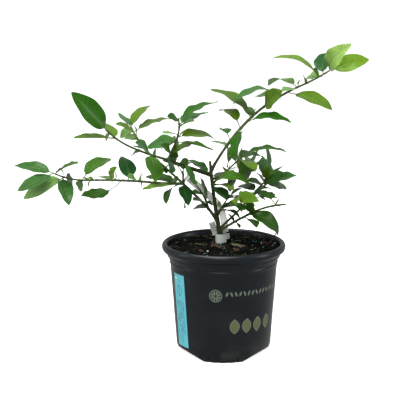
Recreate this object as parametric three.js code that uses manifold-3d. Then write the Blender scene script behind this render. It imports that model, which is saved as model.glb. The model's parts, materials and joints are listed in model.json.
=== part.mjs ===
// A young key lime tree in a plastic nursery pot, standing on the pot's flat underside.
// Units are millimetres, +Z is up, and the viewer of the front view stands on the -Y side.
// The origin is the centre of the pot's underside.

import * as THREE from 'three';
import { mergeVertices } from 'three/addons/utils/BufferGeometryUtils.js';
import Module from 'manifold-3d';

const wasm = await Module();
wasm.setup();

const DEGREE = Math.PI / 180;

// Clear space between two pieces that rest on or in each other.
const GAP = 0.3;

// The pot: a thin moulded shell with a rolled lip, a collar with two rings, and a chamfered foot.
const POT = {
  height: 150,
  rimRadius: 82.5,
  collarRadius: 72.8,
  collarBottom: 124,
  wallRadiusTop: 71.3,
  wallRadiusBottom: 63.2,
  wallBreak: 60,
  footHeight: 12,
  innerBreak: 122,
  chamferRadius: 60.5,
  chamferHeight: 4,
  footRadius: 58.3,
  floorRadius: 36,
  thickness: 1.6,
  floorThickness: 2.4,
  segments: 36,
};
// The lip, from under its turned edge round to its inner side: [in from the rim, down from the top].
const LIP = {
  outer: [[3.5, 11], [0.9, 9], [0, 5], [0.7, 1.8], [3, 0]],
  inner: [[5.4, 0.3], [7.2, 2], [9, 11]],
};
// The collar with its two rings: [out from the collar's radius, up from its lower edge].
const COLLAR = {
  outer: [[-1.5, -2], [-0.2, 1], [-1, 3], [0, 5], [0.6, 7.5], [2.4, 8.5], [3, 12.5]],
  inner: [[-2.6, 8]],
};
// The wall stands on three feet. Between them the underside rises outwards in a flat slant, with a
// drain slot in each slant, and each foot has upright dents in its outer side.
const NOTCH = { count: 3, firstAngle: 59, start: 48, slope: 0.8, below: 1, outside: 72, width: 120 };
const SLOT = { radius: 51, width: 22, depth: 6, height: 24 };
const DENT = {
  perFoot: 6,
  pitchAngle: 11.6,
  width: 4.4,
  footRadius: 56.4,
  shoulder: [59.9, 7.5],
  top: 9.6,
  outside: 66.5,
};

// The potting mix fills the pot, level round the trunk and lower beside the wall.
const SOIL = {
  top: 147.7,
  flatRadius: 24,
  edgeDrop: 8,
  edgeFlare: 0.2,
  sideGap: 0.45,
  humpShares: [0.35, 0.7],
};

// The care label on the pot's wall and the plastic tag on the trunk.
const LABEL = {
  angle: 57,
  width: 23,
  bottom: 16,
  top: 115.5,
  thickness: 0.7,
  steps: 5,
  holeRadius: 1.8,
  holeDrop: 8,
  holeSides: 12,
  punchLength: 12,
};
const SLEEVE = { radius: 7.6, thickness: 0.6, top: 160.5, centre: [-3.5, 6], segments: 16 };
const FLAP = { size: [8.5, 0.6, 18], centre: [-13.2, 10.3, 166], tilt: 20 };
const LOOP = { radius: 4.2, thickness: 0.9, centre: [5.4, 4.5, 156.5], squeeze: 0.55, sides: 5, steps: 12 };
const TAIL = {
  path: [[1.6, 14.6, 160], [0.5, 17, 177], [-5, 20.5, 194], [-16, 23, 208], [-33, 25, 224], [-50, 25, 240]],
  width: 9.5,
  thickness: 0.7,
  steps: 12,
};

// The photographed view, in which seen lengths and bearings are stated, is from this place.
const SIGHT = { place: [-20.9, -1652.1, 553.1] };

// A limb leaves its parent at a share of the parent's length. Its bearing is its direction in the
// upright plane of the front view, in degrees from +X towards +Z, and its lean is how far it
// points away from the viewer, towards +Y. Both are lists of values spread evenly from root to tip.
const TRUNK = {
  start: [-2.9, 6, 148],
  flareRadius: 5.8,
  flareHeight: 9,
  shares: [0, 0.02, 0.05, 0.09, 0.16, 0.3, 0.45, 0.6, 0.75, 0.9, 1],
  sides: 12,
};
const LIMBS = {
  trunk: { bearing: [101, 95], lean: [0, 0], length: 111, radius: [3.3, 1.6] },
  bough_upper_right: {
    parent: 'trunk', at: 0.88, bearing: [61, 54], lean: [8, 10], length: 38, radius: [1.8, 1.65],
  },
  bough_upper_left: {
    parent: 'trunk', at: 0.84, bearing: [160, 158], lean: [-10, -15], length: 62, radius: [1.7, 1.4],
  },
  bough_lower_left: {
    parent: 'trunk', at: 0.26, bearing: [123, 137, 140], lean: [12, 20], length: 69, radius: [2.1, 1.5],
  },
  bough_right: {
    parent: 'trunk', at: 0.155, bearing: [47, 42, 48], lean: [8, 10], length: 43, radius: [1.6, 1.3],
  },
};

// A spray is a limb with leaves. Each leaf that shows in the front view is stated as
// [share of the stem where it grows, bearing, seen length, share of its face turned to the viewer],
// and then its arch and its stalk's share where they are unusual. A negative arch sags. Partners
// grow behind the first of the longer leaves, and whorl leaves follow round the stem by rule. Omit
// names the partners and whorl leaves that are left out, so that light shows through the crown.
// Size is that of the spray's leaves next to the usual ones.
const SPRAYS = {
  spray_upper_right: {
    parent: 'bough_upper_right', at: 1, bearing: [54, 44, 30, 21, 30], lean: [12, 20], length: 178,
    radius: [1.6, 0.8], seed: 11, partners: 5, whorl: 0,
    leaves: [
      [0.01, 162, 25, 0.2, 0], [0.01, -90, 29, 0.2], [0.05, 129, 21, 0.7, 0.15, 0.33],
      [0.16, -95, 35, 0.65], [0.17, 139, 38, 0.6, 0.19, 0.22], [0.24, 0, 58, 0.35, 0.11, 0.13],
      [0.3, 147, 67, 0.4, 0.1, 0.17], [0.41, 41, 31, 0.8], [0.57, -171, 65, 0.15, 0.2],
      [0.62, -19, 64, 0.5, 0.04, 0.19], [0.71, 177, 40, 0.15, 0.17], [0.69, -171, 17, 0.3],
      [0.78, 102, 12, 0.35], [0.9, 159, 67, 0.3, 0.15, 0.1], [0.92, -175, 19, 0.7],
      [0.9, 124, 13, 0.5], [0.94, 83, 32, 0.9], [1, 53, 44, 0.85, 0.21], [1, 17, 56, 0.95],
    ],
    omit: [100, 101, 102],
  },
  spray_upper_left: {
    parent: 'bough_upper_left', at: 1, bearing: [162, 154, 130], lean: [-16, -22], length: 97,
    radius: [1.3, 0.8], seed: 23, partners: 1, whorl: 0,
    leaves: [
      [0.26, 138, 24, 0.4], [0.81, 179, 53, 0.2, 0], [0.91, -124, 11, 0.6], [0.94, 131, 68, 0.85],
      [0.4, -156, 14, 0.3],
    ],
  },
  spray_top_left: {
    parent: 'bough_upper_left', at: 1, bearing: [64, 68, 100], lean: [10, 4], length: 56,
    radius: [1.2, 0.7], seed: 37, partners: 3, whorl: 0,
    leaves: [
      [0.15, 24, 41, 0.4], [0.26, -88, 16, 0.95], [0.47, -171, 39, 0.6], [0.46, -13, 50, 0.2],
      [0.57, -3, 52, 0.4, 0.1], [0.64, 175, 20, 0.2], [0.81, 24, 20, 0.2], [0.88, 23, 42, 0.45],
      [0.99, 24, 57, 0.4, 0.07], [0.99, 162, 15, 0.6], [0.18, 144, 16, 0.7],
      [0.06, -81, 20, 0.4, 0.04, 0.2],
    ],
    omit: [100],
  },
  spray_lower_left: {
    parent: 'bough_lower_left', at: 1, bearing: [183, 176, 180, 182, 155], lean: [10, 4], length: 178,
    radius: [1.4, 0.8], seed: 41, partners: 6, whorl: 0,
    leaves: [
      [0.07, 165, 40, 0.35], [0.04, -173, 47, 0.2, -0.02, 0.15], [0.32, 90, 12, 0.45],
      [0.35, 154, 15, 0.45], [0.42, 101, 36, 0.95], [0.47, -161, 58, 0.55, -0.14, 0.36],
      [0.56, 160, 18, 0.45], [0.56, 66, 19, 0.65], [0.77, -109, 16, 0.85], [0.68, 162, 9, 0.45],
      [0.78, 35, 50, 0.55, 0.12, 0.16], [0.93, -79, 39, 0.95], [0.91, -155, 64, 0.6],
      [0.99, 25, 34, 0.15], [1, 167, 56, 0.65], [1, -155, 54, 0.55],
    ],
    omit: [103, 104],
  },
  spray_mid_left: {
    parent: 'bough_lower_left', at: 1, bearing: [142, 142, 117], lean: [28, 24], length: 114,
    radius: [1.3, 0.7], seed: 53, partners: 3, whorl: 0,
    leaves: [
      [0.35, -59, 13, 0.75], [0.56, -80, 37, 0.9, 0.04, 0.1], [0.64, 161, 18, 0.45],
      [0.79, 174, 22, 0.45], [0.96, -141, 20, 0.9], [0.8, 142, 36, 0.25, 0.07],
      [0.91, 21, 56, 0.3, 0.05, 0.16], [0.98, 130, 26, 0.45], [0.98, 49, 40, 0.5, 0.08],
    ],
    omit: [102],
  },
  spray_left_node: {
    parent: 'bough_lower_left', at: 1, bearing: [90, 88], lean: [-24, -34], length: 23,
    radius: [1, 0.6], size: 0.8, seed: 67, partners: 0, whorl: 1,
    leaves: [
      [0.95, 81, 19, 0.9], [0.48, 117, 17, 0.2], [0, -76, 29, 0.95], [0, -129, 35, 0.15, 0.17],
      [0, -88, 33, 0.2, 0.04, 0.6],
    ],
  },
  spray_low_right: {
    parent: 'trunk', at: 0.14, bearing: [38, 33, 10], lean: [-22, -30], length: 109,
    radius: [1.4, 0.9], size: 0.9, seed: 71, partners: 1, whorl: 0,
    leaves: [
      [0.26, -55, 10, 0.25], [0.38, -33, 22, 0.2, 0.05], [0.48, -34, 48, 0.75, 0.22, 0.06],
      [0.5, 83, 16, 0.95], [0.87, 135, 29, 0.7, 0.04, 0.35], [0.24, 124, 15, 0.5],
    ],
  },
  spray_right: {
    parent: 'bough_right', at: 1, bearing: [44, 49, 43], lean: [12, 12], length: 50,
    radius: [1.2, 0.7], size: 0.85, seed: 83, partners: 2, whorl: 2,
    leaves: [
      [0.57, 161, 25, 0.55], [0.64, 2, 20, 0.2, 0.03], [0.82, 167, 20, 0.55],
      [0.84, -13, 32, 0.6, 0.04, 0.2], [0.95, 77, 19, 0.95], [0.95, 11, 40, 0.65, 0.03, 0.05],
      [0.95, 95, 32, 0.9], [0.06, -103, 17, 0.45],
    ],
    omit: [200],
  },
  spray_inner_right: {
    parent: 'trunk', at: 0.31, bearing: [69, 44], lean: [20, 25], length: 34,
    radius: [1, 0.6], size: 0.8, seed: 97, partners: 0, whorl: 0,
    leaves: [
      [0.34, -5, 30, 0.25, 0.17], [0.28, -19, 28, 0.2, 0.12], [0.93, 2, 16, 0.15, 0.06],
      [0.89, -11, 21, 0.15, 0.06], [0.96, 36, 20, 0.45],
    ],
  },
  spray_centre_right: {
    parent: 'trunk', at: 0.72, bearing: [46, 42, 48], lean: [0, -10], length: 51,
    radius: [1.2, 0.7], size: 0.92, seed: 101, partners: 2, whorl: 0,
    leaves: [
      [0.47, 120, 9, 0.55], [0.49, 69, 7, 0.55], [0.85, 124, 16, 0.75], [0.94, 128, 15, 0.65],
      [0.98, -62, 31, 0.95], [0.99, -37, 26, 0.4], [0.99, 5, 32, 0.25, 0.05],
      [0.99, 10, 61, 0.25, 0.11],
    ],
    omit: [100],
  },
  spray_leader: {
    parent: 'trunk', at: 0.7, bearing: [80, 70], lean: [-45, -50], length: 12,
    radius: [0.9, 0.6], size: 0.85, seed: 107, partners: 0, whorl: 0,
    leaves: [[0, -46, 25, 0.65], [0.36, 75, 19, 0.55], [0.73, -2, 48, 0.55, 0.23], [0, -10, 28, 0.15, 0.06]],
  },
  spray_front_left: {
    parent: 'bough_lower_left', at: 0.31, bearing: [100, 114, 124], lean: [-30, -42], length: 50,
    radius: [1.1, 0.7], size: 0.72, seed: 113, partners: 0, whorl: 2,
    leaves: [
      [0.02, -175, 22, 0.35], [0.21, 168, 18, 0.2], [0.61, 172, 13, 0.5], [0.23, -16, 10, 0.65],
      [1, 138, 13, 0.5],
    ],
  },
  spray_front_right: {
    parent: 'trunk', at: 0.36, bearing: [52, 46], lean: [-42, -55], length: 66,
    radius: [1.1, 0.7], size: 0.72, seed: 127, partners: 0, whorl: 3,
    leaves: [[0.62, -28, 21, 0.4], [0.93, -10, 27, 0.95], [0.99, 17, 21, 0.45]],
  },
  spray_back_left: {
    parent: 'trunk', at: 0.82, bearing: [170, 178], lean: [42, 55], length: 100,
    radius: [1.3, 0.8], size: 0.9, seed: 131, partners: 0, whorl: 9,
    leaves: [[0.05, 141, 34, 0.45, 0.06], [0.15, 148, 12, 0.35]],
    omit: [204],
  },
  spray_back_right: {
    parent: 'trunk', at: 0.78, bearing: [6, -8], lean: [42, 55], length: 88,
    radius: [1.3, 0.8], size: 0.9, seed: 139, partners: 0, whorl: 8,
    leaves: [[0.06, 23, 29, 0.15, 0.04]],
    omit: [203],
  },
  spray_back_low: {
    parent: 'bough_right', at: 1, bearing: [34, 24], lean: [48, 60], length: 84,
    radius: [1.1, 0.7], size: 0.9, seed: 149, partners: 0, whorl: 8,
    leaves: [],
    omit: [201, 203],
  },
};

// A leaf: a short stalk, then a pointed blade that is folded up along its midrib and arched. Its
// half-width swells and narrows as powers of the distances from the blade's foot and from its tip.
const LEAF = {
  length: [50, 62],
  seenReach: 2,
  seenSlack: 1.04,
  widthShare: 0.45,
  widthSpread: 0.05,
  footPower: 0.6,
  tipPower: 0.85,
  widthScale: 2.674,
  stalkShare: 0.12,
  stalkRadius: 0.75,
  thickness: 1,
  fold: [6, 16],
  arch: [0.02, 0.06],
  stations: [0.12, 0.38, 0.72],
};
const PARTNER = { firstItem: 100, lean: 60, leanSpread: 12, turn: 8, shortest: 33, face: 0.4, back: 0.02 };
const WHORL = {
  firstItem: 200,
  turn: 137.5,
  attemptTurn: 0.37,
  opening: 58,
  openingSpread: 14,
  first: 0.22,
  up: 0.25,
  pull: 0.45,
  shortest: 0.8,
  face: [0.2, 0.8],
};

// A leaf is tried again with another lean, up to this many times, while it passes through
// something that is already there, and is then left out.
const CLEAR = {
  tries: 12,
  easing: 0.18,
  leafDistance: 3.8,
  limbDistance: 1.6,
  ownStemShare: 0.6,
  tagShare: 0.6,
  rootShare: 0.28,
  aboveRim: 3,
  besideRim: 6,
  along: 9,
  across: 5,
};
const LIMB_STEPS = 24;
const STEM = { sides: 5, step: 14 };
const BOUGH = { sides: 8, step: 11 };

const COLOUR = {
  plastic: 0x272c30,
  soil: 0x2b211a,
  label: 0x5ab9d2,
  tag: 0xe4e5df,
  bark: 0x3f4a28,
  leaf: 0x4d8a36,
};
const FINISH = {
  plastic: { roughness: 0.45, metalness: 0 },
  soil: { roughness: 0.95, metalness: 0 },
  label: { roughness: 0.35, metalness: 0 },
  tag: { roughness: 0.5, metalness: 0 },
  bark: { roughness: 0.75, metalness: 0 },
  leaf: { roughness: 0.4, metalness: 0 },
};

const { cos, sin, sqrt, min, max, abs, pow, PI } = Math;
const mix = (a, b, t) => a + (b - a) * t;
const vec = (x, y, z) => new THREE.Vector3(x, y, z);

// The value at a share of the way along a list of evenly spaced values.
function between(values, share) {
  const x = min(max(share, 0), 1) * (values.length - 1);
  const i = min(Math.floor(x), values.length - 2);
  return mix(values[i], values[i + 1], x - i);
}

// A number from 0 to 1 that depends only on its three whole-number arguments.
function chance(seed, item, what) {
  const wave = sin(seed * 12.9898 + item * 78.233 + what * 37.719) * 43758.5453;
  return wave - Math.floor(wave);
}

// A number from -spread to spread that depends on the same three arguments.
function swing(spread, seed, item, what) {
  return 2 * spread * (chance(seed, item, what) - 0.5);
}

function heading(bearing, lean) {
  const b = bearing * DEGREE;
  const l = lean * DEGREE;
  return vec(cos(b) * cos(l), sin(l), sin(b) * cos(l));
}

// Centreline of a limb: its heading turns while short equal steps are added up.
function grow(limb, start) {
  const points = [start.clone()];
  const step = limb.length / LIMB_STEPS;
  for (let i = 0; i < LIMB_STEPS; i += 1) {
    const t = (i + 0.5) / LIMB_STEPS;
    const h = heading(between(limb.bearing, t), between(limb.lean, t));
    points.push(points[i].clone().addScaledVector(h, step));
  }
  return points;
}

function pointAt(points, share) {
  const x = min(max(share, 0), 1) * LIMB_STEPS;
  const i = min(Math.floor(x), LIMB_STEPS - 1);
  return points[i].clone().lerp(points[i + 1], x - i);
}

function directionAt(points, share) {
  const i = min(Math.floor(min(max(share, 0), 1) * LIMB_STEPS), LIMB_STEPS - 1);
  return points[i + 1].clone().sub(points[i]).normalize();
}

// Two unit vectors square to a direction: the first lies level, the second points mostly up.
function frameOf(direction) {
  const level = direction.clone().cross(vec(0, 0, 1));
  if (level.length() < 0.05) level.set(1, 0, 0).addScaledVector(direction, -direction.x);
  level.normalize();
  return [level, level.clone().cross(direction).normalize()];
}

// Every limb's centreline. One that leaves its parent's tip starts a gap beyond it, and one that
// leaves its side starts on the parent's axis and is cut back to the parent's surface later.
function growAll() {
  const lines = {};
  for (const [name, limb] of Object.entries({ ...LIMBS, ...SPRAYS })) {
    let start = vec(...TRUNK.start);
    if (limb.parent) {
      const parent = lines[limb.parent];
      start = pointAt(parent, limb.at);
      if (limb.at === 1) start.addScaledVector(directionAt(parent, 1), GAP);
    }
    lines[name] = grow(limb, start);
  }
  return lines;
}

// The centre of the tag's tail, from the sleeve up behind the trunk.
const tailCurve = new THREE.CatmullRomCurve3(TAIL.path.map((p) => vec(...p)));

// Balls along every limb and along the tag's tail, which leaves keep clear of.
function limbBalls(lines) {
  const balls = [];
  for (const [name, limb] of Object.entries({ ...LIMBS, ...SPRAYS })) {
    for (let i = 0; i <= LIMB_STEPS * 2; i += 1) {
      const t = i / (LIMB_STEPS * 2);
      const radius = between(limb.radius, t) + CLEAR.limbDistance;
      balls.push({ owner: name, centre: pointAt(lines[name], t), radius });
    }
  }
  for (let i = 0; i <= TAIL.steps; i += 1) {
    const centre = tailCurve.getPointAt(i / TAIL.steps);
    balls.push({ owner: 'tag', centre, radius: TAIL.width * CLEAR.tagShare });
  }
  return balls;
}

// Share of the full half-width at a place along the blade: round at its foot, drawn out to a point.
function bladeWidth(u) {
  return LEAF.widthScale * pow(u, LEAF.footPower) * pow(1 - u, LEAF.tipPower);
}

// Point on a leaf's upper side: along runs 0 to 1 from root to tip, side from -1 to 1 across.
// The arch is a parabola that is highest halfway along.
function leafPoint(leaf, along, side) {
  const u = max(0, (along - leaf.stalk) / (1 - leaf.stalk));
  const half = 0.5 * leaf.width * bladeWidth(u);
  const rise = leaf.arch * leaf.length * 4 * along * (1 - along) + abs(side) * half * sin(leaf.fold);
  return leaf.root.clone()
    .addScaledVector(leaf.direction, leaf.length * along)
    .addScaledVector(leaf.normal, rise)
    .addScaledVector(leaf.side, side * half * cos(leaf.fold));
}

// Unit vectors at a point: to the viewer, and across and up as the viewer sees it.
function sightAt(point) {
  const toViewer = vec(...SIGHT.place).sub(point).normalize();
  const across = vec(0, 0, 1).cross(toViewer).normalize();
  return { toViewer, across, up: toViewer.clone().cross(across) };
}

// A leaf from its root, direction and length. Face is the share of its upper side that is turned
// to the viewer: the rest of it is turned up.
function makeLeaf(root, direction, length, face, seed, index, arch, stalk = LEAF.stalkShare) {
  const { toViewer } = sightAt(root);
  const front = toViewer.clone().addScaledVector(direction, -toViewer.dot(direction)).normalize();
  const upper = front.clone().cross(direction).normalize();
  if (upper.z < 0) upper.negate();
  const turned = min(max(face, -1), 1);
  const normal = upper.multiplyScalar(sqrt(1 - turned * turned)).addScaledVector(front, turned).normalize();
  return {
    root,
    direction,
    length,
    normal,
    side: direction.clone().cross(normal).normalize(),
    width: length * (LEAF.widthShare + swing(LEAF.widthSpread / 2, seed, index, 3)),
    fold: mix(LEAF.fold[0], LEAF.fold[1], chance(seed, index, 4)) * DEGREE,
    arch: arch ?? mix(LEAF.arch[0], LEAF.arch[1], chance(seed, index, 5)),
    stalk,
  };
}

// A leaf's natural length for its spray.
function usualLength(spray, index) {
  return (spray.size ?? 1) * mix(LEAF.length[0], LEAF.length[1], chance(spray.seed, index, 1));
}

// A seen leaf gets a natural length by rule, and leans to or from the viewer by as much as
// makes it look as long as it is seen.
function seenLeaf(line, stated, spray, index, attempt) {
  const [at, bearing, seen, face, arch, stalk] = stated;
  const length = max(seen * LEAF.seenSlack, min(usualLength(spray, index), seen * LEAF.seenReach));
  const sign = (index + attempt) % 2 ? -1 : 1;
  const ease = 1 - CLEAR.easing * Math.floor(attempt / 2);
  const depth = sign * sqrt(length * length - seen * seen) * ease;
  const root = pointAt(line, at);
  const { toViewer, across, up } = sightAt(root);
  const reach = across.multiplyScalar(seen * cos(bearing * DEGREE))
    .addScaledVector(up, seen * sin(bearing * DEGREE))
    .addScaledVector(toViewer, -depth);
  const full = reach.length();
  return makeLeaf(root, reach.normalize(), full, face, spray.seed, index, arch, stalk);
}

// A partner grows next to a seen leaf on the same bearing, but leans far back, out of sight.
function partnerLeaf(line, stated, spray, index, attempt) {
  const { seed } = spray;
  const [at, bearing] = stated;
  const turn = swing(PARTNER.turn * (attempt + 1), seed, index + attempt, 2);
  const lean = PARTNER.lean + swing(PARTNER.leanSpread, seed, index + attempt, 6);
  const root = pointAt(line, at - PARTNER.back);
  return makeLeaf(root, heading(bearing + turn, lean), usualLength(spray, index), PARTNER.face, seed, index);
}

// Whorl leaves follow round the stem by a steady turn, opened from its direction and lifted a little.
function whorlLeaf(line, item, spray, index, attempt) {
  const { seed, whorl } = spray;
  const at = mix(WHORL.first, 1, whorl > 1 ? item / (whorl - 1) : 1);
  const ahead = directionAt(line, at);
  const [level, upper] = frameOf(ahead);
  const turn = (WHORL.turn * (item + WHORL.attemptTurn * attempt) + 360 * chance(seed, 0, 7)) * DEGREE;
  const opening = (WHORL.opening + swing(WHORL.openingSpread, seed, index, 6)) * DEGREE;
  const length = usualLength(spray, index) * mix(1, WHORL.shortest, chance(seed, index, 8));
  const face = mix(WHORL.face[0], WHORL.face[1], chance(seed, index, 2));
  const direction = ahead.clone().multiplyScalar(cos(opening))
    .addScaledVector(level, sin(opening) * cos(turn))
    .addScaledVector(upper, sin(opening) * sin(turn));
  direction.z += WHORL.up;
  direction.y += WHORL.pull * Math.sign(ahead.y);
  return makeLeaf(pointAt(line, at), direction.normalize(), length, face, seed, index);
}

// Points spread over a leaf's blade, past the part that is rooted in its stem.
function leafSamples(leaf) {
  const samples = [];
  for (let i = 0; i < CLEAR.along; i += 1) {
    const along = mix(CLEAR.rootShare, 1, i / (CLEAR.along - 1));
    for (let j = 0; j < CLEAR.across; j += 1) {
      samples.push(leafPoint(leaf, along, mix(-1, 1, j / (CLEAR.across - 1))));
    }
  }
  return samples;
}

function isClear(samples, owner, balls, taken) {
  const rimReach = POT.rimRadius + CLEAR.besideRim;
  for (const point of samples) {
    const low = point.z < POT.height + CLEAR.aboveRim;
    if (low && point.x ** 2 + point.y ** 2 < rimReach ** 2) return false;
    for (const ball of balls) {
      const near = ball.owner === owner ? ball.radius * CLEAR.ownStemShare : ball.radius;
      if (point.distanceToSquared(ball.centre) < near ** 2) return false;
    }
    for (const other of taken) {
      if (point.distanceToSquared(other) < CLEAR.leafDistance ** 2) return false;
    }
  }
  return true;
}

// The leaves of every spray, each tried in turn: the seen leaves of all sprays first, from the
// longest to the shortest, then the rest.
function growLeaves(lines) {
  const balls = limbBalls(lines);
  const taken = [];
  const leaves = {};
  const place = (name, shape) => {
    for (let attempt = 0; attempt < CLEAR.tries; attempt += 1) {
      const leaf = shape(attempt);
      const samples = leafSamples(leaf);
      if (isClear(samples, name, balls, taken)) {
        leaves[name].push(leaf);
        taken.push(...samples);
        return;
      }
    }
  };
  const seen = [];
  for (const [name, spray] of Object.entries(SPRAYS)) {
    leaves[name] = [];
    spray.leaves.forEach((stated, index) => seen.push({ name, spray, stated, index }));
  }
  seen.sort((a, b) => b.stated[2] - a.stated[2]);
  for (const { name, spray, stated, index } of seen) {
    place(name, (attempt) => seenLeaf(lines[name], stated, spray, index, attempt));
  }
  for (const [name, spray] of Object.entries(SPRAYS)) {
    const longer = spray.leaves.filter((stated) => stated[2] >= PARTNER.shortest).slice(0, spray.partners);
    const placeUnlessOmitted = (index, shape) => {
      if (!(spray.omit ?? []).includes(index)) place(name, (attempt) => shape(index, attempt));
    };
    longer.forEach((stated, i) => {
      const shape = (index, attempt) => partnerLeaf(lines[name], stated, spray, index, attempt);
      placeUnlessOmitted(PARTNER.firstItem + i, shape);
    });
    for (let item = 0; item < spray.whorl; item += 1) {
      const shape = (index, attempt) => whorlLeaf(lines[name], item, spray, index, attempt);
      placeUnlessOmitted(WHORL.firstItem + item, shape);
    }
  }
  return leaves;
}

// A closed solid from rings of points that all have the same count, with a flat fan at each end.
function loft(rings) {
  const count = rings[0].length;
  const positions = rings.flat().flatMap((p) => [p.x, p.y, p.z]);
  const faces = [];
  for (let r = 0; r + 1 < rings.length; r += 1) {
    for (let i = 0; i < count; i += 1) {
      const a = r * count + i;
      const b = r * count + ((i + 1) % count);
      faces.push(a, b, b + count, a, b + count, a + count);
    }
  }
  const last = (rings.length - 1) * count;
  for (let i = 1; i + 1 < count; i += 1) {
    faces.push(0, i + 1, i, last, last + i, last + i + 1);
  }
  const geometry = new THREE.BufferGeometry();
  geometry.setAttribute('position', new THREE.Float32BufferAttribute(positions, 3));
  geometry.setIndex(faces);
  return solidOf(geometry);
}

// A solid from a closed three.js geometry.
function solidOf(geometry) {
  const plain = geometry.clone();
  plain.deleteAttribute('normal');
  plain.deleteAttribute('uv');
  const merged = mergeVertices(plain, 1e-3);
  const index = merged.index.array;
  const faces = [];
  for (let i = 0; i < index.length; i += 3) {
    const [a, b, c] = [index[i], index[i + 1], index[i + 2]];
    if (a !== b && b !== c && c !== a) faces.push(a, b, c);
  }
  const mesh = new wasm.Mesh({
    numProp: 3,
    vertProperties: new Float32Array(merged.attributes.position.array),
    triVerts: new Uint32Array(faces),
  });
  const solid = new wasm.Manifold(mesh);
  return solid.volume() < 0 ? solidOf(flipped(merged)) : solid;
}

function flipped(geometry) {
  const index = Array.from(geometry.index.array);
  for (let i = 0; i < index.length; i += 3) [index[i], index[i + 1]] = [index[i + 1], index[i]];
  return geometry.clone().setIndex(index);
}

function ring(centre, level, upper, radius, sides) {
  return Array.from({ length: sides }, (_, i) => {
    const a = (2 * PI * i) / sides;
    return centre.clone().addScaledVector(level, radius * cos(a)).addScaledVector(upper, radius * sin(a));
  });
}

// A tapering limb: rings of points square to its centreline. Margin thickens it all round.
function limbSolid(line, limb, style, margin = 0) {
  const steps = max(2, Math.round(limb.length / style.step));
  const rings = [];
  for (let r = 0; r <= steps; r += 1) {
    const t = r / steps;
    const centre = pointAt(line, t);
    const ahead = directionAt(line, t);
    const [level, upper] = frameOf(ahead);
    if (r === 0) centre.addScaledVector(ahead, -margin);
    if (r === steps) centre.addScaledVector(ahead, margin);
    rings.push(ring(centre, level, upper, between(limb.radius, t) + margin, style.sides));
  }
  return loft(rings);
}

// The trunk: level rings from the flat cut at the soil, flared at its root, up to its cut tip.
function trunkSolid(line, margin = 0) {
  const limb = LIMBS.trunk;
  const last = TRUNK.shares.length - 1;
  const rings = TRUNK.shares.map((t, i) => {
    const centre = pointAt(line, t);
    if (i === 0) centre.z -= margin;
    if (i === last) centre.z += margin;
    const fading = Math.exp((-2 * t * limb.length) / TRUNK.flareHeight);
    const flare = (TRUNK.flareRadius - limb.radius[0]) * fading;
    return ring(centre, vec(1, 0, 0), vec(0, 1, 0), between(limb.radius, t) + flare + margin, TRUNK.sides);
  });
  return loft(rings);
}

// A leaf as a thin folded blade: four points round each station, and the tip drawn to a point.
// Margin thickens it, twice as far at its thin edges and three times at its tip.
function leafSolid(leaf, margin = 0) {
  const rings = [0, leaf.stalk].map((along) => {
    const centre = leafPoint(leaf, along, 0);
    return ring(centre, leaf.side, leaf.normal, LEAF.stalkRadius + margin, 4);
  });
  for (const u of LEAF.stations) {
    const along = mix(leaf.stalk, 1, u);
    const middle = leafPoint(leaf, along, 0);
    const half = 0.5 * LEAF.thickness + margin;
    const edge = [1, -1].map((s) => leafPoint(leaf, along, s).addScaledVector(leaf.side, s * margin * 2));
    rings.push([
      edge[0],
      middle.clone().addScaledVector(leaf.normal, half),
      edge[1],
      middle.clone().addScaledVector(leaf.normal, -half),
    ]);
  }
  const tip = leafPoint(leaf, 1, 0).addScaledVector(leaf.direction, margin * 3);
  rings.push([tip, tip, tip, tip]);
  return loft(rings);
}

// The one largest body of a solid, which drops any scrap that a cut leaves loose.
function largestBody(solid) {
  const bodies = solid.decompose();
  return bodies.reduce((best, body) => (body.volume() > best.volume() ? body : best));
}

function lathe(profile, segments) {
  const points = profile.map(([r, z]) => new THREE.Vector2(r, z));
  return solidOf(new THREE.LatheGeometry(points, segments).rotateX(PI / 2));
}

// Radius of the pot's outer wall at a height.
function wallRadius(z) {
  const t = (z - POT.footHeight) / (POT.collarBottom - POT.footHeight);
  return mix(POT.wallRadiusBottom, POT.wallRadiusTop, min(max(t, 0), 1));
}

const lipPoint = ([inwards, down]) => [POT.rimRadius - inwards, POT.height - down];
const collarPoint = ([out, up]) => [POT.collarRadius + out, POT.collarBottom + up];

// Outer outline of the pot from the edge of its underside to the top of its lip.
function potOutline() {
  return [
    [POT.footRadius, 0],
    [POT.chamferRadius, POT.chamferHeight],
    [POT.wallRadiusBottom, POT.footHeight],
    [wallRadius(POT.wallBreak), POT.wallBreak],
    ...COLLAR.outer.map(collarPoint),
    ...LIP.outer.map(lipPoint),
  ];
}

// Inner outline of the pot from its lip down the wall and the slanted rim of its floor.
function potInline() {
  return [
    ...LIP.inner.map(lipPoint),
    ...COLLAR.inner.map(collarPoint),
    [POT.wallRadiusTop - POT.thickness, POT.innerBreak],
    [POT.wallRadiusBottom - POT.thickness, POT.footHeight + POT.floorThickness],
    [POT.floorRadius, POT.floorThickness],
  ];
}

function makePot() {
  let pot = lathe([[0, 0], ...potOutline(), ...potInline(), [0, POT.floorThickness]], POT.segments);
  for (let n = 0; n < NOTCH.count; n += 1) {
    const notchAngle = NOTCH.firstAngle + (360 / NOTCH.count) * n;
    const footAngle = notchAngle + 180 / NOTCH.count;
    pot = pot.subtract(notchCutter(notchAngle)).subtract(slotCutter(notchAngle));
    for (let k = 0; k < DENT.perFoot; k += 1) {
      pot = pot.subtract(dentCutter(footAngle + DENT.pitchAngle * (k - (DENT.perFoot - 1) / 2)));
    }
  }
  return largestBody(pot);
}

// Angles round the pot start at the front, -Y, and grow towards +X.
function turnFromFront(geometry, angle) {
  return geometry.rotateZ(angle * DEGREE);
}

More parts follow.
